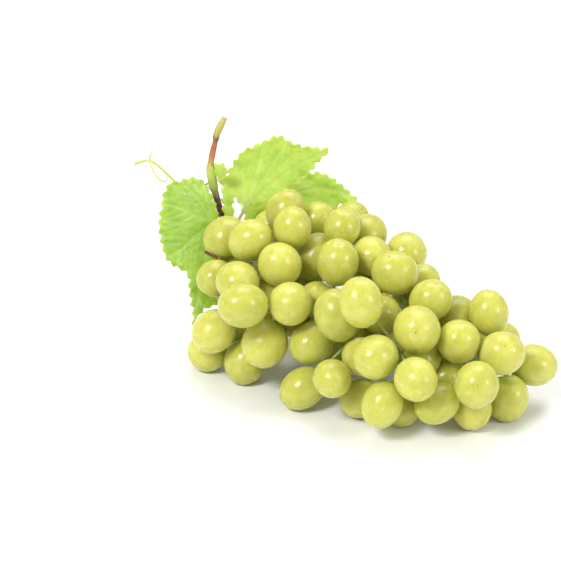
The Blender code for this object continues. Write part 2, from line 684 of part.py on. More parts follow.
# ---------------------------------------------------------------- leaves
def toothed(margin):
    """The margin of a leaf with its teeth: pairs (across, up) in mm, from given (across, up, deep)."""
    ring = [Vector(p[:2]).to_3d() for p in margin]
    line = []
    for k in range(len(ring)):
        stretch = smooth_line([ring[k - 1], ring[k], ring[(k + 1) % len(ring)], ring[(k + 2) % len(ring)]], 6)
        line += stretch[6:12]
    line.append(line[0])
    line = np.array([tuple(p)[:2] for p in line])
    along = np.concatenate([[0], np.cumsum(np.linalg.norm(np.diff(line, axis=0), axis=1))])
    teeth = round(along[-1] * MM / TOOTH_PITCH)
    spots = []
    for tooth in range(teeth):
        spots += [tooth / teeth, (tooth + 0.62) / teeth]
    out = np.array([[np.interp(s * along[-1], along, line[:, k]) for k in (0, 1)] for s in spots])
    run = np.roll(out, -1, axis=0) - np.roll(out, 1, axis=0)
    normal = np.stack([-run[:, 1], run[:, 0]], axis=1) / np.linalg.norm(run, axis=1)[:, None]
    area = 0.5 * np.sum(line[:-1, 0] * line[1:, 1] - line[1:, 0] * line[:-1, 1])
    normal *= -1 if area > 0 else 1
    lift = np.where(np.arange(len(out)) % 2, 0.5, -0.5)[:, None] * TOOTH_HEIGHT / MM
    return out + lift * normal


def depth_through(margin):
    """A smooth depth over the face that passes through the margin's own depths (radial basis, r cubed)."""
    data = np.array(margin)
    flat, deep = data[:, :2], data[:, 2]
    n = len(flat)
    apart = np.linalg.norm(flat[:, None] - flat[None], axis=2) ** 3
    linear = np.hstack([np.ones((n, 1)), flat])
    system = np.block([[apart + 40.0 * np.eye(n), linear], [linear.T, np.zeros((3, 3))]])
    weights = np.linalg.solve(system, np.concatenate([deep, np.zeros(3)]))

    def depth(spots):
        near = np.linalg.norm(spots[:, None] - flat[None], axis=2) ** 3
        return near @ weights[:n] + weights[n] + spots @ weights[n + 1:]

    return depth


def blade(margin, lattice):
    """The flat mesh of a leaf: points (across, up) in mm, triangles, and how many points are the margin."""
    rim = toothed(margin)
    spots = [tuple(p) for p in rim]
    low, high = rim.min(axis=0), rim.max(axis=0)
    step = lattice / MM
    for row in range(int((high[1] - low[1]) / (0.866 * step)) + 1):
        for col in range(int((high[0] - low[0]) / step) + 2):
            spot = (low[0] + (col + 0.5 * (row % 2)) * step, low[1] + (row + 0.4) * 0.866 * step)
            if np.linalg.norm(rim - spot, axis=1).min() > 0.45 * step and inside(rim, spot):
                spots.append(spot)
    edges = [(k, (k + 1) % len(rim)) for k in range(len(rim))]
    points, _, faces, _, _, _ = delaunay_2d_cdt([Vector(p) for p in spots], edges, [], 1, 1e-5)
    return np.array([tuple(p) for p in points]), faces, len(rim)


def inside(rim, spot):
    """Whether this spot lies inside the closed line."""
    ahead = np.roll(rim, -1, axis=0)
    crosses = (rim[:, 1] > spot[1]) != (ahead[:, 1] > spot[1])
    rise = np.where(ahead[:, 1] == rim[:, 1], 1.0, ahead[:, 1] - rim[:, 1])
    at = rim[:, 0] + (spot[1] - rim[:, 1]) * (ahead[:, 0] - rim[:, 0]) / rise
    return np.count_nonzero(crosses & (at > spot[0])) % 2 == 1


def lay_clear(points, links, bunch, lines):
    """Moves the points of a blade back until it lies clear of the berries and of these lines."""
    for _ in range(60):
        push = np.zeros_like(points)
        for i, centre in enumerate(bunch.centres):
            away = points - centre
            dist = np.linalg.norm(away, axis=1)
            reach = bunch.reach(np.full(len(points), i), away / dist[:, None]) + LEAF_CLEARANCE
            close = dist < reach
            push[close] += 0.5 * (reach - dist)[close, None] * (
                0.6 * INTO_FACE + 0.6 * away[close] / dist[close][:, None])
        for line, half in lines:
            gaps = points[:, None] - line.points[None]
            dist = np.linalg.norm(gaps, axis=2)
            near = dist.argmin(axis=1)
            dist = dist.min(axis=1)
            reach = half + LEAF_CLEARANCE
            close = dist < reach
            away = gaps[np.arange(len(points)), near]
            push[close] += 0.5 * (reach - dist[close])[:, None] * away[close] / np.maximum(
                dist[close], 1e-6)[:, None]
        points += push
        if np.abs(push).max() < 0.02 * MM:
            break
        even = np.zeros_like(points)
        count = np.zeros(len(points))
        for a, b in links:
            even[a] += push[b]
            even[b] += push[a]
            count[a] += 1
            count[b] += 1
        points += 0.4 * even / np.maximum(count, 1)[:, None]
    return points


def leaf(margin, bunch, lines, petiole=None):
    """A leaf blade of an even thickness, with its stalk where it has one."""
    spots, faces, rim_count = blade(margin, LEAF_MESH)
    deep = depth_through(margin)(spots)
    points = np.array([tuple(on_face(a, u, d)) for (a, u), d in zip(spots, deep)])
    links = {tuple(sorted((f[k], f[k - 1]))) for f in faces for k in range(3)}
    points = lay_clear(points, sorted(links), bunch, lines)
    sheet = bmesh.new()
    verts = [sheet.verts.new(p) for p in points]
    for f in faces:
        sheet.faces.new([verts[k] for k in f])
    bmesh.ops.recalc_face_normals(sheet, faces=sheet.faces)
    sheet.normal_update()
    normals = [v.normal.copy() for v in verts]
    solid = bmesh.new()
    front = [solid.verts.new(v.co + 0.5 * LEAF_THICKNESS * n) for v, n in zip(verts, normals)]
    back = [solid.verts.new(v.co - 0.5 * LEAF_THICKNESS * n) for v, n in zip(verts, normals)]
    index = {v: k for k, v in enumerate(verts)}
    for face in sheet.faces:
        around = [index[v] for v in face.verts]
        solid.faces.new([front[k] for k in around])
        solid.faces.new([back[k] for k in reversed(around)])
    for edge in sheet.edges:
        if len(edge.link_faces) == 1:
            face = edge.link_faces[0]
            around = [index[v] for v in face.verts]
            a, b = index[edge.verts[0]], index[edge.verts[1]]
            if around[(around.index(a) + 1) % 3] != b:
                a, b = b, a
            solid.faces.new((front[b], front[a], back[a], back[b]))
    sheet.free()
    bmesh.ops.triangulate(solid, faces=solid.faces)
    bmesh.ops.recalc_face_normals(solid, faces=solid.faces)
    if petiole is None:
        return solid
    stem = bmesh.new()
    start = petiole.points[0]
    middle = np.array([tuple((a.co + b.co) / 2) for a, b in zip(front, back)])
    shift = middle[np.linalg.norm(middle - start, axis=1).argmin()] - start
    points = short_of_cane(petiole)
    share = np.linspace(0, 1, len(points))
    points = points + (1 - share[:, None]) ** 2 * shift
    tube(stem, points, PETIOLE_WIDTH * np.interp(share, (0, 0.2, 1), (0.75, 1.0, 1.15)), STALK_SIDES)
    return united((solid, stem))


def short_of_cane(line):
    """The points of a leaf stalk up to where it would run into the cane."""
    keep = []
    for point in line.points[::3]:
        off = np.linalg.norm(cane.points - point, axis=1).min()
        if off < CANE_WIDTH / 2 + PETIOLE_WIDTH * 0.6 + 2 * GAP:
            break
        keep.append(point)
    return np.array(keep)


# ---------------------------------------------------------------- the bunch
for old in list(bpy.data.objects):
    bpy.data.objects.remove(old)

bunch_frame = bpy.data.objects.new("bunch_frame", None)
bpy.context.scene.collection.objects.link(bunch_frame)

berry_skin = material("berry_skin", (0.60, 0.66, 0.17), 0.32)
stalk_bark = material("stalk_bark", (0.36, 0.42, 0.12), 0.60)
cane_bark = material("cane_bark", (0.35, 0.13, 0.08), 0.55)
leaf_green = material("leaf_green", (0.33, 0.60, 0.10), 0.55)

bunch = Bunch()
bunch.settle(FIRST_STEPS)
bunch.join_up()
bunch.settle(MAIN_STEPS)
for mending in range(MENDINGS):
    tight = bunch.grow_stalk()
    bunch.part_berries(np.zeros_like(bunch.centres))
    if not tight and not bunch.crowded:
        break
    bunch.roomy[list(bunch.crowded)] = True
    bunch.lanes.update(tight)
    bunch.settle(MENDING_STEPS)

# Berries that show are pieces of their own
for k in range(len(FACE_BERRIES)):
    bm = bmesh.new()
    ball(bm, bunch.centres[k], bunch.axes[k], bunch.half_wide[k], bunch.half_long[k], BERRY_SIDES, BERRY_RINGS)
    node(f"berry_{k + 1:02d}", bm, berry_skin)

# Berries behind them have grown together in clusters
for k, group in enumerate(bunch.groups):
    first, others = bmesh.new(), bmesh.new()
    for place, i in enumerate(group):
        ball(others if place else first, bunch.centres[i], bunch.axes[i], bunch.half_wide[i],
             bunch.half_long[i], INNER_SIDES, INNER_RINGS)
    node(f"inner_berries_{k + 1:02d}", united((first, others)), berry_skin)

# The stalk: rachis, side shoots, a pedicel to every berry, and the bare twig
for attempt in range(STALK_TURNS):  # sides that nearly coincide don't join: then the tubes are turned a bit
    spin = attempt * math.radians(STALK_TURN)
    trunk, branches = bmesh.new(), bmesh.new()
    share = np.linspace(0, 1, len(rachis.points[::3]))
    tube(trunk, rachis.points[::3], PEDUNCLE_WIDTH + (RACHIS_END_WIDTH - PEDUNCLE_WIDTH) * share,
         STALK_SIDES, spin)
    for i, (start, end) in bunch.pedicels.items():
        length = np.linalg.norm(end - start)
        way = bunch.axes[i]
        carried = 1 + len(bunch.children[i])
        base = min(SHOOT_WIDTH, PEDICEL_WIDTH * carried ** 0.45)
        fork = max([0.3 * length, *bunch.children[i]])
        fork = min(fork, length - RECEPTACLE_HEIGHT - 0.4 * MM)
        tube(branches, [start, start + fork * way, end - RECEPTACLE_HEIGHT * way, end],
             [base, 0.5 * (base + PEDICEL_WIDTH), PEDICEL_WIDTH, RECEPTACLE_WIDTH], STALK_SIDES - 1, 2 * spin)
    tube(branches, twig.points[::3], twig.spread(TWIG_WIDTHS) * MM, STALK_SIDES, 3 * spin)
    stalk = united((trunk, branches))
    if is_one_closed_body(stalk):
        break
node("bunch_stalk", stalk, stalk_bark)

# The cane with its node, and what grows from it
bm = bmesh.new()
widths = cane.spread([row[3] for row in CANE]) * CANE_WIDTH
tube(bm, cane.points[::3], widths, CANE_SIDES)
node("cane", bm, cane_bark)

standing = [(cane, 0.65 * CANE_WIDTH), (twig, 0.9 * MM)]
node("leaf_left", leaf(LEFT_MARGIN, bunch, standing, left_petiole), leaf_green)
node("leaf_back", leaf(BACK_MARGIN, bunch, standing, back_petiole), leaf_green)
node("leaf_right", leaf(RIGHT_MARGIN, bunch, standing + [(back_petiole, 0.9 * MM)], right_petiole), leaf_green)
node("leaf_young", leaf(LEAFLET_MARGIN, bunch, standing), leaf_green)

first, others = bmesh.new(), bmesh.new()
stem = Line([on_face(*p) for p in TENDRIL])
keep = [k for k in range(0, len(stem.points), 3)
        if np.linalg.norm(cane.points - stem.points[k], axis=1).min() > 0.65 * CANE_WIDTH + TENDRIL_WIDTH]
widths = np.interp(stem.along[keep], stem.along[::LINE_STEPS], TENDRIL_WIDTHS) * TENDRIL_WIDTH
tube(first, stem.points[keep], widths, STALK_SIDES)
for arm, thin in ((TENDRIL_ARM, 0.8), (TENDRIL_CURL, 0.65)):
    line = Line([on_face(*p) for p in arm])
    tube(others, line.points[::3], np.full(len(line.points[::3]), thin * TENDRIL_WIDTH), STALK_SIDES)
node("tendril", united((first, others)), leaf_green)

# The middle of the whole, on the table, is the origin
bpy.context.view_layer.update()
corners = np.array([made.matrix_world @ v.co for made in bunch_frame.children for v in made.data.vertices])
low, high = corners.min(axis=0), corners.max(axis=0)
bunch_frame.location = (-(low[0] + high[0]) / 2, -(low[1] + high[1]) / 2, -low[2])
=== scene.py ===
# %% [markdown]
# # A bunch of green grapes
# The bunch lies on a table with a piece of its cane, four leaves and a tendril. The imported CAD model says
# where everything is. Here each plain solid is replaced by the finished thing: skin with its bloom and
# its blossom scar, a warty stalk, a ringed cane, and leaves with teeth and veins.

# %% Load the frame
import json
import math

import bmesh
import bpy
import numpy as np
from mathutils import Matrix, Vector
from mathutils.bvhtree import BVHTree
from mathutils.geometry import delaunay_2d_cdt
from mathutils.kdtree import KDTree

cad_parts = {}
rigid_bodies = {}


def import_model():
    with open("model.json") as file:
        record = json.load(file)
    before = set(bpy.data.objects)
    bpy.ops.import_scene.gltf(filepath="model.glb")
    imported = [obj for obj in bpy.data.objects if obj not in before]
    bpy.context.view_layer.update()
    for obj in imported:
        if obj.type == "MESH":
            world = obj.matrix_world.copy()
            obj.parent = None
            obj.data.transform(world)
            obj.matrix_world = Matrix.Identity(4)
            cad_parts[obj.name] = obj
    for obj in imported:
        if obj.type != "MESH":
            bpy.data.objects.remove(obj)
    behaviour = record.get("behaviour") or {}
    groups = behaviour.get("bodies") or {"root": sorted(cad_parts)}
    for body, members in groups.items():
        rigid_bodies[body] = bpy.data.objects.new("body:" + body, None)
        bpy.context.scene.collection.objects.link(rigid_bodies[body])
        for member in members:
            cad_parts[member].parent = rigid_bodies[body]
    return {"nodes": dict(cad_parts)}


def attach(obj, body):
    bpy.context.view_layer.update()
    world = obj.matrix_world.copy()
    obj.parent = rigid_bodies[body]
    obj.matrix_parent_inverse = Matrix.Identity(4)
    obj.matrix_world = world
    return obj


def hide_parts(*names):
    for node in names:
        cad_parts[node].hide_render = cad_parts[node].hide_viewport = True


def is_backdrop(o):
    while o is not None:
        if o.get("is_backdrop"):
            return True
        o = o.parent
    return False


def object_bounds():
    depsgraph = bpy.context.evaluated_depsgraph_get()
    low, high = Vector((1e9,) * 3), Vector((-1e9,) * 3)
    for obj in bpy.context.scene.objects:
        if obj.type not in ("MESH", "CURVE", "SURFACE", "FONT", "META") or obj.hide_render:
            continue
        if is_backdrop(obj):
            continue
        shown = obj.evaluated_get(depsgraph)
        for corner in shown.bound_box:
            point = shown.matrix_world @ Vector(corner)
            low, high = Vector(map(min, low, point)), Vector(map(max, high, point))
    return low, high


for leftover in list(bpy.data.objects):
    bpy.data.objects.remove(leftover)
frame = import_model()
cad_low, cad_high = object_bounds()
MM = 0.001
print("CAD box in mm:", [round(x / MM, 1) for x in cad_high - cad_low])

# %% [markdown]
# ## The face of the bunch
# The grower sees a bunch from one side. That side is a plane that leans back, and a place on it is
# (across, up, deep) in millimetres. Leaves, cane and tendril are drawn on this face, which is far easier
# than thinking of them in the room. The deeper a place is, the wider it is set, so that things keep
# their place against each other as they are seen.

# %% Places on the face
FACE_LEAN = math.radians(25)
FACE_HEIGHT = 60.0
SEEN_FROM = 800.0
INTO_FACE = Vector((0, math.cos(FACE_LEAN), -math.sin(FACE_LEAN)))
UP_FACE = Vector((0, math.sin(FACE_LEAN), math.cos(FACE_LEAN)))
CANE = (  # across, up, deep and width in mm, from the lower cut to the upper one
    (-26.0, 16.0, 65.0, 3.8),
    (-28.3, 28.0, 59.5, 3.7),
    (-31.0, 38.0, 56.0, 3.5),
    (-32.6, 44.0, 54.0, 3.4),
    (-33.4, 46.5, 53.0, 4.7),
    (-34.2, 51.0, 51.5, 5.0),
    (-35.0, 56.0, 50.0, 4.7),
    (-34.9, 58.5, 49.3, 3.2),
    (-33.9, 64.0, 47.6, 3.3),
    (-32.6, 69.5, 46.0, 2.5),
    (-32.2, 71.5, 45.5, 3.6),
    (-31.8, 73.5, 45.0, 3.5),
    (-30.2, 77.0, 44.0, 3.7),
    (-27.8, 81.5, 42.5, 2.7),
)


def on_plain_face(across, up, deep):
    """The place in the room of a place on the face, before the model was centred on the table."""
    across, up, deep = float(across), float(up), float(deep)
    spread = 1 + deep / SEEN_FROM
    flat = Vector((across * spread, 0, FACE_HEIGHT))
    return (flat + up * spread * UP_FACE + deep * INTO_FACE) * MM


def cad_points(name):
    """The corners of a CAD node, each once."""
    co = np.array([v.co[:] for v in frame["nodes"][name].data.vertices])
    return np.unique(co.round(7), axis=0)


# The cane's upper cut is drawn above, and found in the CAD node: that places the face in the frame
cane_end, before_end = on_plain_face(*CANE[-1][:3]), on_plain_face(*CANE[-2][:3])
cane_corners = cad_points("cane")
cut = cane_corners[np.argsort(cane_corners @ np.array(cane_end - before_end))[-9:]]
FACE_SHIFT = Vector(cut.mean(axis=0)) - cane_end
print("the face is shifted by mm:", [round(x / MM, 2) for x in FACE_SHIFT])


def on_face(across, up, deep):
    """The place in the frame of a place on the face, in mm."""
    return on_plain_face(across, up, deep) + FACE_SHIFT


# %% [markdown]
# ## Camera first
# The camera looks straight at the face, from as far off as the drawing of the face assumes.

# %% Camera
VIEW_WIDTH = 280.5  # mm of the face from side to side of the picture
camera = bpy.data.objects.new("camera", bpy.data.cameras.new("camera"))
bpy.context.scene.collection.objects.link(camera)
camera.location = on_face(0, 0, 0) - SEEN_FROM * MM * INTO_FACE
camera.rotation_mode = "QUATERNION"
camera.rotation_quaternion = INTO_FACE.to_track_quat("-Z", "Y")
camera.data.lens = camera.data.sensor_width * SEEN_FROM / VIEW_WIDTH
camera.data.clip_start, camera.data.clip_end = 0.05, 20
bpy.context.scene.camera = camera
print("lens in mm:", round(camera.data.lens, 1))

# %% [markdown]
# ## Finding the berries
# Each berry in the CAD model is a faceted ball, alone or pressed into its neighbours. A facet of a ball
# points away from the middle, so one radius inwards from every facet is a vote for where the middle is.
# Votes that lie together are one berry. Its pedicel ends at its stem end, so the nearest part of the
# stalk tells which way the berry hangs.

# %% Middles, axes and sizes of the berries
BERRY_RADIUS = 10.2 * MM
BERRY_ASPECT = 23.2 / 21.0  # length over width
VOTE_SPREAD = 3 * MM  # votes closer than this are for the same middle
LEAST_SHOWN = 0.15  # a ball counts when this share of it shows
BALL_ROOM = 6 * MM  # no second middle is looked for nearer than this
EGG_BAND = 1.6 * MM  # corners this near to the egg belong to it
FIT_ROUNDS = 8
THINNEST, THICKEST = 8 * MM, 12 * MM  # half widths
stalk_corners = cad_points("bunch_stalk")
stalk_tree = KDTree(len(stalk_corners))
for k, corner in enumerate(stalk_corners):
    stalk_tree.insert(corner, k)
stalk_tree.balance()


def facets(name):
    """Middles, outward normals and double areas of a CAD node's triangles."""
    mesh = frame["nodes"][name].data
    mesh.calc_loop_triangles()
    corners = np.array([[mesh.vertices[v].co[:] for v in t.vertices] for t in mesh.loop_triangles])
    normals = np.cross(corners[:, 1] - corners[:, 0], corners[:, 2] - corners[:, 0])
    areas = np.linalg.norm(normals, axis=1)
    good = areas > 1e-9
    return corners[good].mean(axis=1), normals[good] / areas[good, None], areas[good]


def middles(name):
    """The middles of the balls that a CAD node is made of."""
    spots, normals, areas = facets(name)
    votes = spots - BERRY_RADIUS * normals
    found = []
    weight = areas.copy()
    whole_ball = 8 * math.pi * BERRY_RADIUS ** 2  # twice its surface, as the areas above are
    while weight.max() > 0:
        near = np.linalg.norm(votes[:, None] - votes[None], axis=2) < VOTE_SPREAD
        support = (near * weight[None]).sum(axis=1) * (weight > 0)
        best = support.argmax()
        members = near[best] & (weight > 0)
        if support[best] < LEAST_SHOWN * whole_ball:
            break
        middle = np.average(votes[members], axis=0, weights=areas[members])
        for _ in range(FIT_ROUNDS):  # refine: the middle is as far from every facet of the ball
            out = spots[members] - middle
            reach = np.linalg.norm(out, axis=1)
            radius = np.average(reach, weights=areas[members])
            error = ((reach - radius) / reach)[:, None] * out
            middle = middle + 2 * np.average(error, axis=0, weights=areas[members])
        found.append(middle)
        weight[np.linalg.norm(votes - middle, axis=1) < BALL_ROOM] = 0
    return found


def berries_of(name):
    """For each berry of a CAD node: middle, axis from stem end to blossom end, half width, half length."""
    corners = cad_points(name)
    result = []
    for middle in middles(name):
        stem = np.mean([hit[0][:] for hit in stalk_tree.find_n(middle, 4)], axis=0)
        axis = (middle - stem) / np.linalg.norm(middle - stem)
        half_wide = BERRY_RADIUS
        for _ in range(FIT_ROUNDS):  # fit the egg to those corners that lie on it
            own = corners - middle
            own -= (1 - 1 / BERRY_ASPECT) * (own @ axis)[:, None] * axis
            out = np.linalg.norm(own, axis=1)
            on_it = np.abs(out - half_wide) < EGG_BAND
            ways = own[on_it] / out[on_it, None]
            unknowns = np.hstack([ways, np.ones((len(ways), 1))])
            fit = np.linalg.lstsq(unknowns, out[on_it] - half_wide, rcond=None)[0]
            middle = middle + fit[:3]
            half_wide = float(np.clip(half_wide + fit[3], THINNEST, THICKEST))
        result.append((Vector(middle), Vector(axis), half_wide, half_wide * BERRY_ASPECT))
    return result


berry_nodes = sorted(n for n in frame["nodes"] if n.startswith(("berry_", "inner_berries_")))
berries = {name: berries_of(name) for name in berry_nodes}
every_berry = [b for name in berry_nodes for b in berries[name]]
print(len(berry_nodes), "CAD nodes hold", len(every_berry), "berries, half widths in mm from",
      round(min(b[2] for b in every_berry) / MM, 1), "to", round(max(b[2] for b in every_berry) / MM, 1))

# %% [markdown]
# ## Berries
# A grape is an egg of taut skin. It is never quite round: it bulges a little here and there, it is drawn
# in where the pedicel enters, it has a small flat at the blossom end, and where it presses on its
# neighbour both are flat. A ball of rings and spokes takes all of that as moves of its points. Each point
# also stores where it is on its own berry, so that the skin's pattern can follow every berry in turn.

# %% Berry shapes
SPOKES, RINGS = 48, 30
DIMPLE, DIMPLE_REACH = 0.9 * MM, 0.36  # at the stem end: depth, and reach as a share of the radius
FLAT, FLAT_REACH = 0.25 * MM, 0.22  # the same at the blossom end
UNEVEN = 0.012  # bulges, as a share of the radius
PRESS_SOFTNESS = 0.5 * MM  # how gently the skin turns flat against a neighbour
PRESS_GAP = 0.06 * MM  # from the flat to where the two would meet
PRESS_REACH = 1.5 * MM  # berries further apart than this leave each other round
REST_SOFTNESS = 0.15 * MM  # how gently it turns flat on the table
# Berries that are longer one way than their pedicels would make them: across, up, and how much longer
LONG_WAYS = {
    "berry_01": (1.0, 0.2, 1.08), "berry_02": (1.0, 0.3, 1.08), "berry_03": (0.3, 1.0, 1.12),
    "berry_07": (1.0, -0.2, 1.07), "berry_08": (1.0, 0.3, 1.09), "berry_10": (0.6, 0.8, 1.08),
    "berry_11": (0.5, -0.8, 1.08), "berry_12": (0.5, 0.8, 1.10), "berry_17": (0.5, 0.9, 1.12),
    "berry_18": (0.1, 1.0, 1.07), "berry_19": (0.7, -0.7, 1.10), "berry_20": (1.0, 0.1, 1.10),
    "berry_21": (0.15, 1.0, 1.15), "berry_22": (0.3, -1.0, 1.13), "berry_24": (1.0, 0.3, 1.08),
    "berry_25": (1.0, 0.4, 1.12), "berry_29": (0.3, 1.0, 1.09), "berry_31": (1.0, 0.2, 1.08),
    "berry_32": (-0.3, 1.0, 1.05), "berry_36": (-0.2, 1.0, 1.09), "berry_37": (1.0, 0.1, 1.08),
    "berry_38": (0.3, 1.0, 1.06), "berry_39": (0.6, 0.8, 1.09), "berry_40": (1.0, -0.2, 1.10),
    "berry_41": (0.7, 0.7, 1.08),
}
FULLER = 1.02  # ripe skin stands a little prouder than the plain model
rng = np.random.default_rng(11)


def smooth_bump(x):
    """1 at x = 0, falling smoothly to 0 at x = 1."""
    x = np.clip(x, 0, 1)
    return (1 - x ** 2) ** 2


def berry_points(middle, axis, half_wide, half_long, neighbours, long_way=None):
    """Points of one berry, ring by ring from its stem end, and the same places on a plain unit ball."""
    rise = np.linspace(-math.pi / 2, math.pi / 2, RINGS + 1)
    turn = np.arange(SPOKES) * math.tau / SPOKES
    flat, up = np.cos(rise)[:, None], np.sin(rise)[:, None]
    unit = np.stack([flat * np.cos(turn), flat * np.sin(turn), up + 0 * turn], axis=2).reshape(-1, 3)
    lobes = sum(np.sin((k + 1) * np.arctan2(unit[:, 1], unit[:, 0]) + rng.uniform(0, math.tau))
                * np.hypot(unit[:, 0], unit[:, 1]) ** (k + 1) / (k + 1) for k in range(3))
    waves = lobes + np.sin(2.2 * unit[:, 2] + rng.uniform(0, math.tau))
    shape = unit * (1 + UNEVEN * waves)[:, None] * (half_wide, half_wide, half_long)
    off_axis = np.hypot(unit[:, 0], unit[:, 1])
    shape[:, 2] += DIMPLE * smooth_bump(off_axis / DIMPLE_REACH) * (unit[:, 2] < 0)
    shape[:, 2] -= FLAT * smooth_bump(off_axis / FLAT_REACH) * (unit[:, 2] > 0)
    turn_to = Vector((0, 0, 1)).rotation_difference(axis).to_matrix()
    points = FULLER * shape @ np.array(turn_to).T
    if long_way:
        across, up, longer = long_way
        way = np.array(Vector((across, 0, 0)) + up * UP_FACE)
        way /= np.linalg.norm(way)
        points = (points + (longer - 1) * (points @ way)[:, None] * way) * longer ** -0.25
    points += np.array(middle)
    for other, other_wide in neighbours:  # flat where two berries press on each other
        way = np.array(other - middle)
        distance = np.linalg.norm(way)
        way /= distance
        meet = 0.5 * distance + 0.5 * (half_wide - other_wide) - PRESS_GAP
        beyond = (points - np.array(middle)) @ way - meet
        points -= (PRESS_SOFTNESS * np.logaddexp(0, beyond / PRESS_SOFTNESS))[:, None] * way
    points[:, 2] = REST_SOFTNESS * np.logaddexp(0, points[:, 2] / REST_SOFTNESS)  # flat where it rests
    return points, unit


def give(mesh, name, numbers):
    """Stores these numbers, or vectors, on the points of a mesh."""
    numbers = np.asarray(numbers, np.float32)
    kind, field = ("FLOAT_VECTOR", "vector") if numbers.ndim == 2 else ("FLOAT", "value")
    mesh.attributes.new(name, kind, "POINT").data.foreach_set(field, numbers.ravel())


def berry_mesh(name, members):
    """One mesh of the berries of one CAD node."""
    all_points, all_places, all_tones, faces = [], [], [], []
    for member in members:
        middle, _, half_wide, half_long = member
        neighbours = [(b[0], b[2]) for b in every_berry if b is not member
                      and (b[0] - middle).length < b[2] + half_wide + PRESS_REACH]
        points, unit = berry_points(*member, neighbours, LONG_WAYS.get(name.removesuffix("_skin")))
        first = sum(len(p) for p in all_points)
        tone = rng.uniform(0, 1)
        all_points.append(points)
        all_places.append(unit)
        all_tones.append(np.full(len(points), tone))
        for ring in range(RINGS):
            for spoke in range(SPOKES):
                after = (spoke + 1) % SPOKES
                a, b = first + ring * SPOKES + spoke, first + ring * SPOKES + after
                faces.append((a, b, b + SPOKES, a + SPOKES))
    mesh = bpy.data.meshes.new(name)
    mesh.from_pydata(np.concatenate(all_points).tolist(), [], faces)
    give(mesh, "place_on_berry", np.concatenate(all_places))
    give(mesh, "tone", np.concatenate(all_tones))
    poles = bmesh.new()
    poles.from_mesh(mesh)
    bmesh.ops.remove_doubles(poles, verts=poles.verts, dist=0.0005 * MM)
    poles.to_mesh(mesh)
    poles.free()
    mesh.shade_smooth()
    return mesh


def piece(name, mesh, material, slot, *nodes):
    """An object of the finished bunch: it rides on the one body and stands for these CAD nodes."""
    made = bpy.data.objects.new(name, mesh)
    bpy.context.scene.collection.objects.link(made)
    if material:
        mesh.materials.clear()
        mesh.materials.append(material)
    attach(made, "root")
    if nodes:
        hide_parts(*nodes)


# %% [markdown]
# ## Helpers for materials
# Every material below is a tree of nodes. These short functions add a node, set its values and join it to
# the ones it reads, so that each recipe fits in a few lines.

# %% Material helpers
class Recipe:
    """A node tree under construction: a material with its Principled shader, or a shader node group."""

    def __init__(self, name, group=False):
        if group:
            self.tree = bpy.data.node_groups.new(name, "ShaderNodeTree")
            self.start = self.tree.nodes.new("NodeGroupInput")
            self.end = self.tree.nodes.new("NodeGroupOutput")
        else:
            self.material = bpy.data.materials.new(name)
            self.material.use_nodes = True
            self.tree = self.material.node_tree
            self.shader = self.tree.nodes["Principled BSDF"]

    def node(self, kind, values=None, **settings):
        """Adds a node. values are its inputs: numbers, colours, or the outputs that feed them."""
        made = self.tree.nodes.new(kind)
        for key, value in settings.items():
            setattr(made, key, value)
        for key, value in (values or {}).items():
            self.feed(made.inputs[key], value)
        return made

    def feed(self, socket, value):
        if isinstance(value, bpy.types.NodeSocket):
            self.tree.links.new(value, socket)
        else:
            socket.default_value = value

    def attribute(self, name, output="Fac"):
        return self.node("ShaderNodeAttribute", attribute_name=name).outputs[output]

    def math(self, operation, a, b=0.0, clamp=False):
        return self.node("ShaderNodeMath", {0: a, 1: b}, operation=operation, use_clamp=clamp).outputs[0]

    def vector(self, operation, a, b=(0, 0, 0)):
        made = self.node("ShaderNodeVectorMath", {0: a, 1: b}, operation=operation)
        return made.outputs["Value" if operation in ("DOT_PRODUCT", "LENGTH", "DISTANCE") else "Vector"]

    def noise(self, place, scale, detail=4.0, rough=0.55):
        values = {"Vector": place, "Scale": scale, "Detail": detail, "Roughness": rough}
        return self.node("ShaderNodeTexNoise", values).outputs["Fac"]

    def step(self, value, low, high, to_low=0.0, to_high=1.0):
        values = {0: value, 1: low, 2: high, 3: to_low, 4: to_high}
        return self.node("ShaderNodeMapRange", values, interpolation_type="SMOOTHSTEP").outputs[0]

    def mix(self, share, a, b):
        made = self.node("ShaderNodeMix", data_type="RGBA")
        self.feed(made.inputs["Factor"], share)
        for socket, value in ((made.inputs[6], a), (made.inputs[7], b)):
            self.feed(socket, (*value, 1) if isinstance(value, tuple) and len(value) == 3 else value)
        return made.outputs[2]

    def ramp(self, value, stops):
        """A colour ramp: stops are (position, red, green, blue)."""
        made = self.node("ShaderNodeValToRGB", {"Fac": value})
        marks = made.color_ramp.elements
        while len(marks) < len(stops):
            marks.new(0.5)
        for mark, stop in zip(marks, stops):
            mark.position = stop[0]
            mark.color = (*stop[1:], 1)
        return made.outputs["Color"]

    def bump(self, height, strength, distance):
        values = {"Height": height, "Strength": strength, "Distance": distance}
        return self.node("ShaderNodeBump", values).outputs["Normal"]

    def finish(self, **inputs):
        for key, value in inputs.items():
            self.feed(self.shader.inputs[key.replace("_", " ")], value)
        return self.material


# %% [markdown]
# ## Skin of the berries
# The skin of a white grape is thin and lets light deep into the flesh, so the berry glows from inside:
# that is subsurface scattering with a reach of a few millimetres, furthest in red and green. Paler veins
# run under the skin from pole to pole. On the skin lies bloom, a thin dusting of wax that turns the gloss
# dull in patches, and a few brown specks. The blossom end keeps a small brown scar.

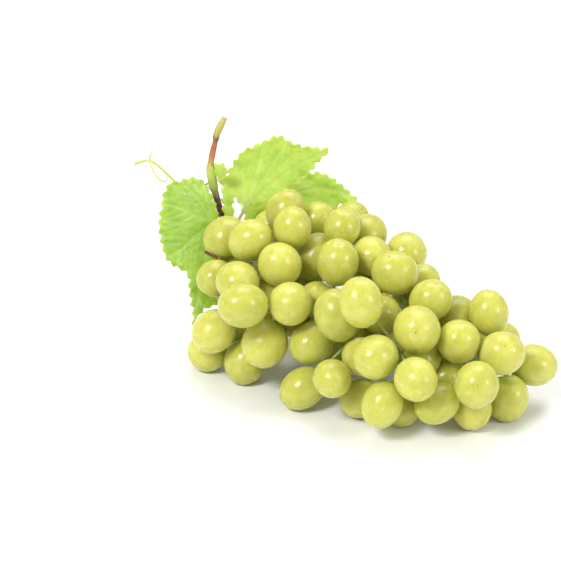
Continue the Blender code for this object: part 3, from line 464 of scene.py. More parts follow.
# %% Skin material
skin = Recipe("grape_skin")
on_berry = skin.attribute("place_on_berry", "Vector")
tone = skin.attribute("tone")
own_shift = skin.node("ShaderNodeCombineXYZ", {0: skin.math("MULTIPLY", tone, 37.0),
                                               1: skin.math("MULTIPLY", tone, 11.0)}).outputs[0]
own_place = skin.vector("ADD", on_berry, own_shift)
parts = skin.node("ShaderNodeSeparateXYZ", {0: on_berry})
from_stem = skin.step(parts.outputs["Z"], -1.0, 1.0)
clouds = skin.noise(own_place, 1.6, 3.0)
streaks = skin.noise(skin.vector("MULTIPLY", own_place, (7.0, 7.0, 1.2)), 1.0, 5.0, 0.6)
flesh = skin.ramp(skin.math("ADD", skin.math("MULTIPLY", clouds, 0.7), skin.math("MULTIPLY", tone, 0.3)), (
    (0.25, 0.44, 0.45, 0.085),
    (0.50, 0.53, 0.53, 0.110),
    (0.75, 0.62, 0.60, 0.150),
))
veined = skin.mix(skin.step(streaks, 0.50, 0.75, 0.0, 0.16), flesh, (0.78, 0.78, 0.24))
greener = skin.mix(skin.step(parts.outputs["Z"], -0.45, -0.95, 0.0, 0.45), veined, (0.42, 0.52, 0.06))
bloom = skin.step(skin.noise(own_place, 2.1, 4.0, 0.5), 0.40, 0.70)
dusted = skin.mix(skin.math("MULTIPLY", bloom, 0.08), greener, (0.86, 0.88, 0.60))
specks = skin.node("ShaderNodeTexVoronoi", {"Vector": own_place, "Scale": 4.2, "Randomness": 1.0})
speck = skin.step(specks.outputs["Distance"], 0.045, 0.020)
chosen = skin.step(specks.outputs["Color"], 0.66, 0.70)
speckled = skin.mix(skin.math("MULTIPLY", skin.math("MULTIPLY", speck, chosen), 0.75), dusted,
                    (0.16, 0.13, 0.03))
off_axis = skin.vector("LENGTH", skin.vector("MULTIPLY", on_berry, (1.0, 1.0, 0.0)))
ragged = skin.math("ADD", off_axis, skin.math("MULTIPLY", skin.noise(own_place, 14.0), 0.05))
blossom_end = skin.step(parts.outputs["Z"], 0.0, 0.1)
halo = skin.math("MULTIPLY", skin.step(ragged, 0.20, 0.08), blossom_end)
scar = skin.math("MULTIPLY", skin.step(ragged, 0.062, 0.040), blossom_end)
ringed = skin.mix(skin.math("MULTIPLY", halo, 0.22), speckled, (0.58, 0.54, 0.10))
grape_skin = skin.finish(
    Base_Color=skin.mix(skin.math("MULTIPLY", scar, 0.8), ringed, (0.20, 0.14, 0.03)),
    Roughness=skin.math("ADD", skin.step(bloom, 0.0, 1.0, 0.22, 0.32), skin.math("MULTIPLY", scar, 0.3)),
    Subsurface_Weight=1.0,
    Subsurface_Radius=(1.0, 0.95, 0.30),
    Subsurface_Scale=5.5 * MM,
    Subsurface_Anisotropy=0.4,
    IOR=1.45,
    Coat_Weight=0.0,
    Normal=skin.bump(skin.noise(own_place, 9.0, 5.0), 0.10, 0.25 * MM),
)
print("skin material:", len(grape_skin.node_tree.nodes), "nodes")

# %% One piece for every berry node of the CAD model
for name in berry_nodes:
    piece(name + "_skin", berry_mesh(name + "_skin", berries[name]), grape_skin, "berry_skin", name)
print("made", len(berry_nodes), "pieces of berries")

# %% [markdown]
# ## Things that repeat: Geometry Nodes
# Warts on the stalk, collars at the ends of the pedicels, scars on the berries and veins of the leaves are
# the same few shapes over and over. Each is a small node tree: one strews a shape over a surface, one sets
# a shape on given points, one turns lines into tubes. A tree ends by making everything real and giving it
# its material, and the result is kept as a plain mesh.

# %% Geometry node trees
class Grower:
    """A geometry node tree with named inputs, and a way to run it on a mesh."""

    def __init__(self, name, **inputs):
        self.tree = bpy.data.node_groups.new(name, "GeometryNodeTree")
        face = self.tree.interface
        face.new_socket("Geometry", in_out="INPUT", socket_type="NodeSocketGeometry")
        face.new_socket("Geometry", in_out="OUTPUT", socket_type="NodeSocketGeometry")
        self.inputs = {}
        for key, (kind, default) in inputs.items():
            socket = face.new_socket(key, in_out="INPUT", socket_type=kind)
            if default is not None:
                socket.default_value = default
            self.inputs[key] = socket.identifier
        self.start = self.tree.nodes.new("NodeGroupInput")
        self.end = self.tree.nodes.new("NodeGroupOutput")

    def node(self, kind, values=None, **settings):
        made = self.tree.nodes.new(kind)
        for key, value in settings.items():
            setattr(made, key, value)
        for key, value in (values or {}).items():
            if isinstance(value, bpy.types.NodeSocket):
                self.tree.links.new(value, made.inputs[key])
            else:
                made.inputs[key].default_value = value
        return made

    def stored(self, name, kind):
        """What is stored on the points under this name."""
        made = self.node("GeometryNodeInputNamedAttribute", {"Name": name}, data_type=kind)
        return next(o for o in made.outputs if o.enabled and o.name == "Attribute")

    def close(self, geometry):
        """Ends the tree: everything made real, with its material."""
        real = self.node("GeometryNodeRealizeInstances", {"Geometry": geometry})
        dressed = self.node("GeometryNodeSetMaterial", {
            "Geometry": real.outputs[0], "Material": self.start.outputs["Material"]})
        self.tree.links.new(dressed.outputs[0], self.end.inputs[0])

    def run(self, mesh, **values):
        """Runs the tree on this mesh and gives the result as a plain mesh."""
        host = bpy.data.objects.new(mesh.name, mesh)
        bpy.context.scene.collection.objects.link(host)
        modifier = host.modifiers.new("grow", "NODES")
        modifier.node_group = self.tree
        for key, value in values.items():
            modifier[self.inputs[key]] = value
        host.update_tag()
        bpy.context.view_layer.update()
        graph = bpy.context.evaluated_depsgraph_get()
        grown = bpy.data.meshes.new_from_object(host.evaluated_get(graph), depsgraph=graph)
        host.modifiers.clear()
        bpy.data.objects.remove(host)
        return grown


# Strews small domes over a surface
warts = Grower("strew_warts", Material=("NodeSocketMaterial", None), Density=("NodeSocketFloat", 4e5),
               Size=("NodeSocketFloat", 0.25 * MM), Seed=("NodeSocketInt", 3))
spots = warts.node("GeometryNodeDistributePointsOnFaces", {
    "Mesh": warts.start.outputs["Geometry"], "Density": warts.start.outputs["Density"],
    "Seed": warts.start.outputs["Seed"]})
dome = warts.node("GeometryNodeMeshIcoSphere", {"Radius": 1.0, "Subdivisions": 1})
sizes = warts.node("FunctionNodeRandomValue", {"Min": (0.5, 0.5, 0.25), "Max": (1.0, 1.6, 0.6)},
                   data_type="FLOAT_VECTOR")
scaled = warts.node("ShaderNodeVectorMath", {0: sizes.outputs[0], "Scale": warts.start.outputs["Size"]},
                    operation="SCALE")
warts.close(warts.node("GeometryNodeInstanceOnPoints", {
    "Points": spots.outputs["Points"], "Instance": dome.outputs["Mesh"],
    "Rotation": spots.outputs["Rotation"], "Scale": scaled.outputs["Vector"]}).outputs["Instances"])

# Sets a flared collar or a small nub on every point, turned along the point's own "way"
collars = Grower("set_collars", Material=("NodeSocketMaterial", None), Low=("NodeSocketFloat", 0.9 * MM),
                 High=("NodeSocketFloat", 1.9 * MM), Height=("NodeSocketFloat", 1.2 * MM))
turned = collars.node("FunctionNodeAlignRotationToVector", {"Vector": collars.stored("way", "FLOAT_VECTOR")},
                      axis="Z")
cone = collars.node("GeometryNodeMeshCone", {
    "Vertices": 10, "Side Segments": 3, "Fill Segments": 2, "Radius Bottom": collars.start.outputs["Low"],
    "Radius Top": collars.start.outputs["High"], "Depth": collars.start.outputs["Height"]})
uneven = collars.node("FunctionNodeRandomValue", {"Min": (0.85, 0.85, 0.85), "Max": (1.15, 1.15, 1.2)},
                      data_type="FLOAT_VECTOR")
collars.close(collars.node("GeometryNodeInstanceOnPoints", {
    "Points": collars.start.outputs["Geometry"], "Instance": cone.outputs["Mesh"],
    "Rotation": turned.outputs[0], "Scale": uneven.outputs[0]}).outputs["Instances"])

# Turns lines of points into tubes, as thick as each point's own "thick" says
cords = Grower("lines_to_tubes", Material=("NodeSocketMaterial", None), Sides=("NodeSocketInt", 6))
line = cords.node("GeometryNodeMeshToCurve", {"Mesh": cords.start.outputs["Geometry"]})
ring = cords.node("GeometryNodeCurvePrimitiveCircle", {
    "Resolution": cords.start.outputs["Sides"], "Radius": 1.0})
cords.close(cords.node("GeometryNodeCurveToMesh", {
    "Curve": line.outputs[0], "Profile Curve": ring.outputs[0], "Scale": cords.stored("thick", "FLOAT"),
    "Fill Caps": True}).outputs[0])


def points_mesh(name, places, links=(), **values):
    """A mesh of bare points, perhaps linked into lines, that carries these values on its points."""
    mesh = bpy.data.meshes.new(name)
    mesh.from_pydata([tuple(p) for p in places], list(links), [])
    for key, numbers in values.items():
        give(mesh, key, numbers)
    return mesh


def places_of(mesh):
    """The points of a mesh, one row each."""
    co = np.empty(3 * len(mesh.vertices), np.float32)
    mesh.vertices.foreach_get("co", co)
    return co.reshape(-1, 3).astype(float)


def smooth_curve(points, per_stretch=8):
    """Points along a smooth curve through the given ones (Catmull-Rom)."""
    points = np.array([tuple(p) for p in points], float)
    ends = np.vstack([2 * points[0] - points[1], points, 2 * points[-1] - points[-2]])
    t = (np.arange(per_stretch) / per_stretch)[:, None]
    parts = [0.5 * (2 * b + (c - a) * t + (2 * a - 5 * b + 4 * c - d) * t ** 2
                    + (3 * b - a - 3 * c + d) * t ** 3)
             for a, b, c, d in zip(ends, ends[1:], ends[2:], ends[3:])]
    return np.vstack(parts + [points[-1:]])


def round_tube(points, radii, sides, relief=None):
    """A closed tube: points, faces, and for each point how far along and round it is."""
    points = np.asarray(points, float)
    run = np.gradient(points, axis=0)
    run /= np.linalg.norm(run, axis=1)[:, None]
    side = np.cross(run[0], (0.3, 0.5, 0.8))
    along = np.concatenate([[0], np.cumsum(np.linalg.norm(np.diff(points, axis=0), axis=1))])
    turn = np.arange(sides) * math.tau / sides
    verts, ways = [], []
    for k, (point, way) in enumerate(zip(points, run)):
        side = side - side @ way * way
        side /= np.linalg.norm(side)
        other = np.cross(way, side)
        out = np.cos(turn)[:, None] * side + np.sin(turn)[:, None] * other
        extra = relief(along[k], turn) if relief else 0 * turn
        verts.append(point + out * (radii[k] + extra)[:, None])
        ways.append(np.stack([np.full(sides, along[k]), np.cos(turn), np.sin(turn)], axis=1))
    last = (len(points) - 1) * sides
    faces = [(k + j, k + (j + 1) % sides, k + sides + (j + 1) % sides, k + sides + j)
             for k in range(0, last, sides) for j in range(sides)]
    faces += [tuple(range(sides))[::-1], tuple(range(last, last + sides))]
    return np.vstack(verts), faces, np.vstack(ways)


# %% [markdown]
# ## Plant surfaces share one mottle
# Stalk, cane and leaves are all patchy at two scales. One shader group makes that pattern from a place on
# the plant and hands out a share for mixing colours and a height for the bump.

# %% Mottle group
mottle_recipe = Recipe("plant_mottle", group=True)
for key, kind, default in (("Place", "NodeSocketVector", None), ("Coarse", "NodeSocketFloat", 200.0),
                           ("Fine", "NodeSocketFloat", 1200.0)):
    made = mottle_recipe.tree.interface.new_socket(key, in_out="INPUT", socket_type=kind)
    if default:
        made.default_value = default
for key in ("Patch", "Height"):
    mottle_recipe.tree.interface.new_socket(key, in_out="OUTPUT", socket_type="NodeSocketFloat")
coarse = mottle_recipe.noise(mottle_recipe.start.outputs["Place"], mottle_recipe.start.outputs["Coarse"], 3.0)
fine = mottle_recipe.noise(mottle_recipe.start.outputs["Place"], mottle_recipe.start.outputs["Fine"], 5.0)
mottle_recipe.feed(mottle_recipe.end.inputs["Patch"], mottle_recipe.step(coarse, 0.38, 0.62))
mottle_recipe.feed(mottle_recipe.end.inputs["Height"], mottle_recipe.math("ADD", coarse, fine))


def mottle(recipe, place, coarse_scale, fine_scale):
    """Adds the shared mottle to a material. Gives its patches and its height."""
    made = recipe.node("ShaderNodeGroup", node_tree=mottle_recipe.tree)
    recipe.feed(made.inputs["Place"], place)
    made.inputs["Coarse"].default_value, made.inputs["Fine"].default_value = coarse_scale, fine_scale
    return made.outputs["Patch"], made.outputs["Height"]


# %% [markdown]
# ## Stalk
# The CAD stalk is made of straight prisms. A voxel remesh melts its joints together and smoothing rounds
# it, which gives the swollen forks a real stalk has. It is green where it is young, and brown and dry on
# the bare side shoot that stands out at the shoulder. Tiny warts, the pores of the bark, are strewn over it.

# %% Stalk
MELT = 0.42 * MM  # side of a voxel
TWIG = (  # the bare side shoot: across, up, deep in mm
    (-14.0, 11.0, 48.5), (-20.0, 9.0, 43.0), (-26.0, 9.2, 37.5), (-32.5, 11.6, 34.0), (-38.0, 14.6, 32.0))
TWIG_REACH = 2.2 * MM  # bark this near to its middle line is brown
melted = bpy.data.objects.new("melted", frame["nodes"]["bunch_stalk"].data.copy())
bpy.context.scene.collection.objects.link(melted)
remesh = melted.modifiers.new("melt", "REMESH")
remesh.mode, remesh.voxel_size = "VOXEL", MELT
relax = melted.modifiers.new("relax", "SMOOTH")
relax.factor, relax.iterations = 0.5, 5
bpy.context.view_layer.update()
graph = bpy.context.evaluated_depsgraph_get()
stalk_mesh = bpy.data.meshes.new_from_object(melted.evaluated_get(graph), depsgraph=graph)
melted.modifiers.clear()
bpy.data.objects.remove(melted)
stalk_mesh.name = "bunch_stalk_bark"
stalk_places = places_of(stalk_mesh)
twig_line = np.array([on_face(*p) for p in smooth_curve(TWIG)])
off_twig = np.linalg.norm(stalk_places[:, None] - twig_line[None, ::2], axis=2).min(axis=1)
give(stalk_mesh, "brown", np.clip(1.6 - off_twig / TWIG_REACH, 0, 1))
stalk_mesh.shade_smooth()

bark = Recipe("green_bark")
place = bark.node("ShaderNodeTexCoord").outputs["Object"]
patch, height = mottle(bark, place, 260.0, 1500.0)
young = bark.mix(patch, (0.30, 0.40, 0.09), (0.45, 0.50, 0.15))
worn = bark.mix(bark.step(bark.noise(place, 90.0, 3.0), 0.5, 0.68), young, (0.40, 0.27, 0.09))
dry = bark.mix(patch, (0.17, 0.065, 0.025), (0.32, 0.15, 0.07))
green_bark = bark.finish(
    Base_Color=bark.mix(bark.attribute("brown"), worn, dry),
    Roughness=0.58,
    Subsurface_Weight=0.15,
    Subsurface_Radius=(1.0, 0.8, 0.3),
    Subsurface_Scale=1.0 * MM,
    Normal=bark.bump(height, 0.5, 0.15 * MM),
)
green_pores = Recipe("bark_pores").finish(Base_Color=(0.42, 0.33, 0.14, 1), Roughness=0.75)
stalk_warts = warts.run(stalk_mesh.copy(), Material=green_pores, Density=1.1e5, Size=0.24 * MM, Seed=3)
piece("bunch_stalk_bark", stalk_mesh, green_bark, "stalk_bark", "bunch_stalk")
piece("bunch_stalk_pores", stalk_warts, None, "stalk_bark")
print("stalk:", len(stalk_mesh.polygons), "faces and", len(stalk_warts.polygons), "of pores")

# %% Collars where the pedicels enter the berries, and scars where the blossoms were
stem_ends = [m - a * (long + 0.45 * MM) for m, a, _, long in every_berry]
stem_ways = [tuple(a) for _, a, _, _ in every_berry]
collar_mesh = collars.run(points_mesh("collars", stem_ends, way=stem_ways), Material=green_bark,
                          Low=0.80 * MM, High=1.70 * MM, Height=1.25 * MM)
piece("pedicel_collars", collar_mesh, None, "stalk_bark")
scar_brown = Recipe("blossom_scar").finish(Base_Color=(0.16, 0.10, 0.03, 1), Roughness=0.8)
blossom_ends = [m + a * (long - 0.34 * MM) for m, a, _, long in every_berry]
scar_mesh = collars.run(points_mesh("scars", blossom_ends, way=stem_ways), Material=scar_brown,
                        Low=0.26 * MM, High=0.14 * MM, Height=0.36 * MM)
piece("blossom_scars", scar_mesh, None, "berry_skin")

# %% [markdown]
# ## Cane
# The cane is this year's shoot. It has fine ribs along it, a swollen node where leaf, tendril and young
# leaf come out, and its colour goes from purple-brown below over the green node to a red-brown stretch and
# a second, small node under the cut. Each point knows how far up it is, and a ramp turns that into colour.

# %% Cane
CANE_SIDES = 40
CANE_BLEND = 3  # widths are evened out over so many points either way
cane_line = smooth_curve([p[:3] for p in CANE], 14)
cane_wide = np.interp(np.linspace(0, len(CANE) - 1, len(cane_line)), range(len(CANE)),
                      [p[3] for p in CANE])
evened = np.ones(2 * CANE_BLEND + 1) / (2 * CANE_BLEND + 1)
cane_wide = np.convolve(np.pad(cane_wide, CANE_BLEND, mode="edge"), evened, mode="valid")


def ribs(along, turn):
    """How far the bark stands out at this place: eleven low ribs that sway, and twenty-three fine ones."""
    low = 0.05 * np.sin(11 * turn + 1.5 * np.sin(along / (9 * MM)))
    return (low + 0.03 * np.sin(23 * turn + along / (4 * MM))) * MM


cane_co, cane_faces, cane_ways = round_tube(
    [on_face(*p) for p in cane_line], cane_wide / 2 * MM, CANE_SIDES, ribs)
cane_mesh = bpy.data.meshes.new("cane_bark")
cane_mesh.from_pydata(cane_co.tolist(), [], cane_faces)
up_cane = np.repeat(np.array(cane_line)[:, 1], CANE_SIDES)
give(cane_mesh, "up_cane", (up_cane - CANE[0][1]) / (CANE[-1][1] - CANE[0][1]))
give(cane_mesh, "ways", cane_ways * (1 / (8 * MM), 1, 1))
cut_end = np.zeros(len(cane_co))
cut_end[:CANE_SIDES] = cut_end[-CANE_SIDES:] = 1
give(cane_mesh, "cut_end", cut_end)
cane_mesh.shade_smooth()
for end in cane_mesh.polygons[-2:]:
    end.use_smooth = False

cane_recipe = Recipe("cane_bark")
place = cane_recipe.node("ShaderNodeTexCoord").outputs["Object"]
patch, height = mottle(cane_recipe, place, 300.0, 1600.0)
stripes = cane_recipe.noise(cane_recipe.vector("MULTIPLY", cane_recipe.attribute("ways", "Vector"),
                                               (0.5, 4.0, 4.0)), 1.0, 5.0, 0.65)
level = cane_recipe.math("ADD", cane_recipe.attribute("up_cane"),
                         cane_recipe.step(stripes, 0.2, 0.8, -0.03, 0.03))
colour = cane_recipe.ramp(level, (
    (0.00, 0.055, 0.022, 0.020),
    (0.40, 0.085, 0.030, 0.022),
    (0.47, 0.300, 0.400, 0.060),
    (0.60, 0.480, 0.560, 0.100),
    (0.655, 0.440, 0.360, 0.080),
    (0.70, 0.520, 0.170, 0.060),
    (0.80, 0.420, 0.100, 0.040),
    (0.835, 0.130, 0.050, 0.025),
    (0.87, 0.450, 0.380, 0.070),
    (0.96, 0.520, 0.520, 0.110),
    (1.00, 0.600, 0.420, 0.180),
))
streaked = cane_recipe.mix(cane_recipe.step(stripes, 0.50, 0.72, 0.0, 0.22), colour, (0.10, 0.04, 0.02))
light = cane_recipe.mix(cane_recipe.math("MULTIPLY", patch, 0.22), streaked, (0.50, 0.33, 0.16))
wood = cane_recipe.mix(cane_recipe.attribute("cut_end"), light, (0.60, 0.47, 0.25))
cane_bark = cane_recipe.finish(
    Base_Color=wood,
    Roughness=0.45,
    Normal=cane_recipe.bump(cane_recipe.math("ADD", height, stripes), 0.5, 0.2 * MM),
)
piece("cane_bark", cane_mesh, cane_bark, "cane_bark", "cane")
cane_pores = Recipe("cane_pores").finish(Base_Color=(0.30, 0.17, 0.09, 1), Roughness=0.7)
piece("cane_pores", warts.run(cane_mesh.copy(), Material=cane_pores, Density=1.4e5, Size=0.22 * MM, Seed=8),
      None, "cane_bark")

# %% [markdown]
# ## Leaves
# A leaf blade is drawn flat on the face: its margin with double teeth, its main veins, and side veins that
# leave those at an angle and run to the margin. A fine mesh fills the margin. The CAD leaf, looked up along
# the line of sight, gives each point its depth. Then the blade is quilted: it bulges between the veins and
# dips along them.

# %% Margins and veins of the leaves, in mm on the face
LEAVES = {
    "leaf_left": {
        "margin": (
            (-33.0, 40.0), (-36.5, 46.5), (-39.0, 50.0), (-45.0, 51.5), (-50.0, 49.8), (-55.0, 49.0),
            (-58.5, 43.5), (-59.5, 37.0), (-60.8, 28.0), (-59.0, 16.0), (-56.0, 9.5), (-51.0, 6.0),
            (-46.5, 3.0), (-45.5, -6.0), (-43.8, -17.0), (-44.0, -25.0), (-40.5, -17.0), (-36.0, -13.5),
            (-30.5, -11.0), (-27.0, 0.0), (-26.5, 12.0), (-27.5, 24.0), (-31.0, 32.0)),
        "veins": (
            ((-33.5, 29.0), (-38.0, 12.0), (-41.0, -5.0), (-43.6, -22.0)),
            ((-33.5, 29.0), (-43.0, 22.0), (-50.0, 15.5), (-57.0, 11.5)),
            ((-33.5, 29.0), (-43.0, 33.0), (-51.0, 36.5), (-58.5, 38.0)),
            ((-33.5, 29.0), (-39.0, 38.0), (-44.0, 44.0), (-49.0, 49.0)),
            ((-33.5, 29.0), (-36.0, 38.0), (-39.0, 48.5)),
            ((-33.5, 29.0), (-31.5, 12.0), (-31.0, -9.0))),
        "petiole": ((-36.0, 26.0, 50.0), (-31.5, 27.0, 53.0), (-28.3, 27.5, 59.5)),
        "pale": 0.15,
    },
    "leaf_back": {
        "margin": (
            (-19.6, 37.0), (-23.2, 41.2), (-23.6, 36.0), (-22.8, 31.0), (-25.0, 27.0), (-28.0, 31.0),
            (-29.2, 38.0), (-29.2, 45.0), (-30.5, 51.0), (-27.0, 52.0), (-24.0, 58.0), (-19.0, 64.5),
            (-13.5, 67.2), (-7.5, 70.0), (-1.0, 72.5), (3.5, 70.0), (10.0, 67.5), (17.0, 66.5),
            (24.5, 65.2), (19.5, 60.0), (15.5, 55.0), (11.0, 48.0), (4.0, 40.0), (-3.0, 34.5),
            (-10.0, 29.5), (-16.0, 29.0), (-18.6, 33.0)),
        "veins": (
            ((-17.8, 35.6), (-19.8, 46.0), (-23.0, 56.0)),
            ((-19.2, 38.5), (-23.8, 44.0), (-29.4, 50.2)),
            ((-17.8, 35.6), (-14.0, 48.0), (-11.0, 58.0), (-7.5, 69.0)),
            ((-17.8, 35.6), (-9.5, 49.0), (-3.0, 60.0), (3.0, 69.3)),
            ((-17.8, 35.6), (-7.0, 46.0), (8.0, 57.0), (23.5, 64.8)),
            ((-17.8, 35.6), (-7.0, 38.5), (3.0, 42.5), (10.5, 48.0)),
            ((-17.8, 35.6), (-12.0, 33.5), (-6.0, 33.0))),
        "petiole": ((-15.0, 39.0, 57.2), (-19.0, 34.0, 56.6), (-22.0, 29.0, 57.5), (-27.4, 23.5, 61.5)),
        "pale": 0.75,
    },
    "leaf_right": {
        "margin": (
            (3.0, 42.0), (6.0, 47.0), (10.0, 51.5), (14.0, 53.8), (20.5, 53.8), (26.5, 50.8),
            (31.0, 47.5), (35.0, 43.8), (38.8, 39.8), (35.5, 39.4), (31.5, 38.6), (28.0, 36.5),
            (25.0, 33.5), (18.0, 32.0), (10.0, 35.0)),
        "veins": (
            ((4.5, 42.0), (17.0, 46.2), (28.0, 44.8), (38.0, 40.2)),
            ((4.5, 42.0), (11.0, 48.0), (20.0, 53.0)),
            ((4.5, 42.0), (9.0, 48.0), (12.5, 52.6)),
            ((4.5, 42.0), (15.0, 41.5), (27.0, 37.2)),
            ((4.5, 42.0), (10.0, 38.5), (17.0, 33.2))),
        "petiole": ((8.0, 41.5, 64.0), (1.0, 36.0, 65.5), (-12.0, 27.0, 66.0), (-26.3, 17.5, 64.3)),
        "pale": 0.5,
    },
    "leaf_young": {
        "margin": (
            (-32.0, 51.5), (-33.5, 55.0), (-32.5, 58.3), (-29.5, 58.6), (-27.0, 56.5), (-26.0, 53.8),
            (-28.0, 51.0), (-30.0, 49.0)),
        "veins": (
            ((-30.2, 50.0), (-30.5, 54.0), (-30.8, 58.0)),
            ((-30.2, 50.0), (-28.5, 53.5), (-27.2, 56.0))),
        "petiole": (),
        "pale": 1.0,
    },
}
TOOTH_PITCH, TOOTH_HEIGHT, TOOTH_PEAK = 4.7, 1.5, 0.62  # the peak is a share of the pitch
FINE_STEP = 0.45  # along the margin
LATTICE = 0.85  # inside the blade
ROW = 0.866  # rows of a lattice of even triangles, as a share of its step
BLADE = 0.34  # thickness
BEHIND = 0.35  # the blade's middle lies this far behind the CAD leaf's front
CLEAR = 0.75  # from the blade's middle to a berry
EVENING_ROUNDS = 45
# Side veins: step along the main vein, their own step, and how near they come to margin and main veins
SIDE_EVERY, SIDE_FIRST, SIDE_LAST = 6, 7, 5
SIDE_STEP, SIDE_ANGLE, SIDE_BEND = 0.6, math.radians(52), 0.008
OFF_MARGIN, OFF_MAIN, OWN_MAIN = 0.8, 1.2, 2.5


def shrink_to_even(line, step):
    """The same line with its points this far apart."""
    along = np.concatenate([[0], np.cumsum(np.linalg.norm(np.diff(line, axis=0), axis=1))])
    at = np.linspace(0, along[-1], max(2, int(along[-1] / step) + 1))
    return np.stack([np.interp(at, along, line[:, k]) for k in range(line.shape[1])], axis=1)


def toothed(margin):
    """The margin with its double teeth, as a closed ring of points."""
    ring = np.array(margin, float)
    around = smooth_curve(np.vstack([ring[-2:], ring, ring[:3]]), 10)[20:-20]
    around = shrink_to_even(around, FINE_STEP)[:-1]
    count = len(around)
    length = count * np.linalg.norm(around[1] - around[0])
    phase = np.arange(count) / count * round(length / TOOTH_PITCH) % 1
    rising = (np.minimum(phase, TOOTH_PEAK) / TOOTH_PEAK) ** 1.15
    falling = np.maximum(phase - TOOTH_PEAK, 0) / (1 - TOOTH_PEAK)
    small = 0.12 * np.maximum(0, 1 - np.abs(phase - 0.25) / 0.14)
    tooth = rising - falling - 0.5 + small
    run = np.roll(around, -2, axis=0) - np.roll(around, 2, axis=0)
    out = np.stack([run[:, 1], -run[:, 0]], axis=1) / np.linalg.norm(run, axis=1)[:, None]
    area = np.sum(around[:, 0] * np.roll(around[:, 1], -1) - np.roll(around[:, 0], -1) * around[:, 1])
    size = TOOTH_HEIGHT * (0.7 + 0.6 * np.sin(np.arange(count) * 0.11) ** 2)
    return around + np.sign(area) * (tooth * size)[:, None] * out


def inside(ring, spots):
    """Which of these spots lie inside the ring."""
    ahead = np.roll(ring, -1, axis=0)
    crosses = (ring[None, :, 1] > spots[:, None, 1]) != (ahead[None, :, 1] > spots[:, None, 1])
    rise = np.where(ahead[:, 1] == ring[:, 1], 1, ahead[:, 1] - ring[:, 1])
    at = ring[:, 0] + (spots[:, None, 1] - ring[:, 1]) * (ahead[:, 0] - ring[:, 0]) / rise
    return np.count_nonzero(crosses & (at > spots[:, None, 0]), axis=1) % 2 == 1


def side_veins(main, ring, others):
    """Veins that leave a main vein on both sides and bend towards its tip, up to the margin."""
    made = []
    line = shrink_to_even(smooth_curve(main), 0.7)
    for k in range(SIDE_FIRST, len(line) - SIDE_LAST, SIDE_EVERY):
        way = line[k + 1] - line[k - 1]
        way /= np.linalg.norm(way)
        for hand in (-1, 1):
            start = line[min(k + (2 if hand > 0 else 0), len(line) - 2)]
            spots = [start]
            for step in range(60):
                turn = hand * SIDE_ANGLE * (1 - SIDE_BEND * step)
                head = (way[0] * math.cos(turn) - way[1] * math.sin(turn),
                        way[0] * math.sin(turn) + way[1] * math.cos(turn))
                spots.append(spots[-1] + SIDE_STEP * np.array(head))
                off_margin = np.linalg.norm(ring - spots[-1], axis=1).min()
                off_main = np.linalg.norm(others - spots[-1], axis=1)
                off_main = off_main[np.linalg.norm(others - start, axis=1) > OWN_MAIN]
                if off_margin < OFF_MARGIN or (step > 2 and len(off_main) and off_main.min() < OFF_MAIN):
                    break
            if len(spots) > 5:
                made.append(np.array(spots[:-1]))
    return made


def flat_tree(spots):
    """A tree for finding the nearest of these spots on the face."""
    tree = KDTree(len(spots))
    for k, p in enumerate(spots):
        tree.insert((p[0], p[1], 0), k)
    tree.balance()
    return tree


eye = camera.location.copy()


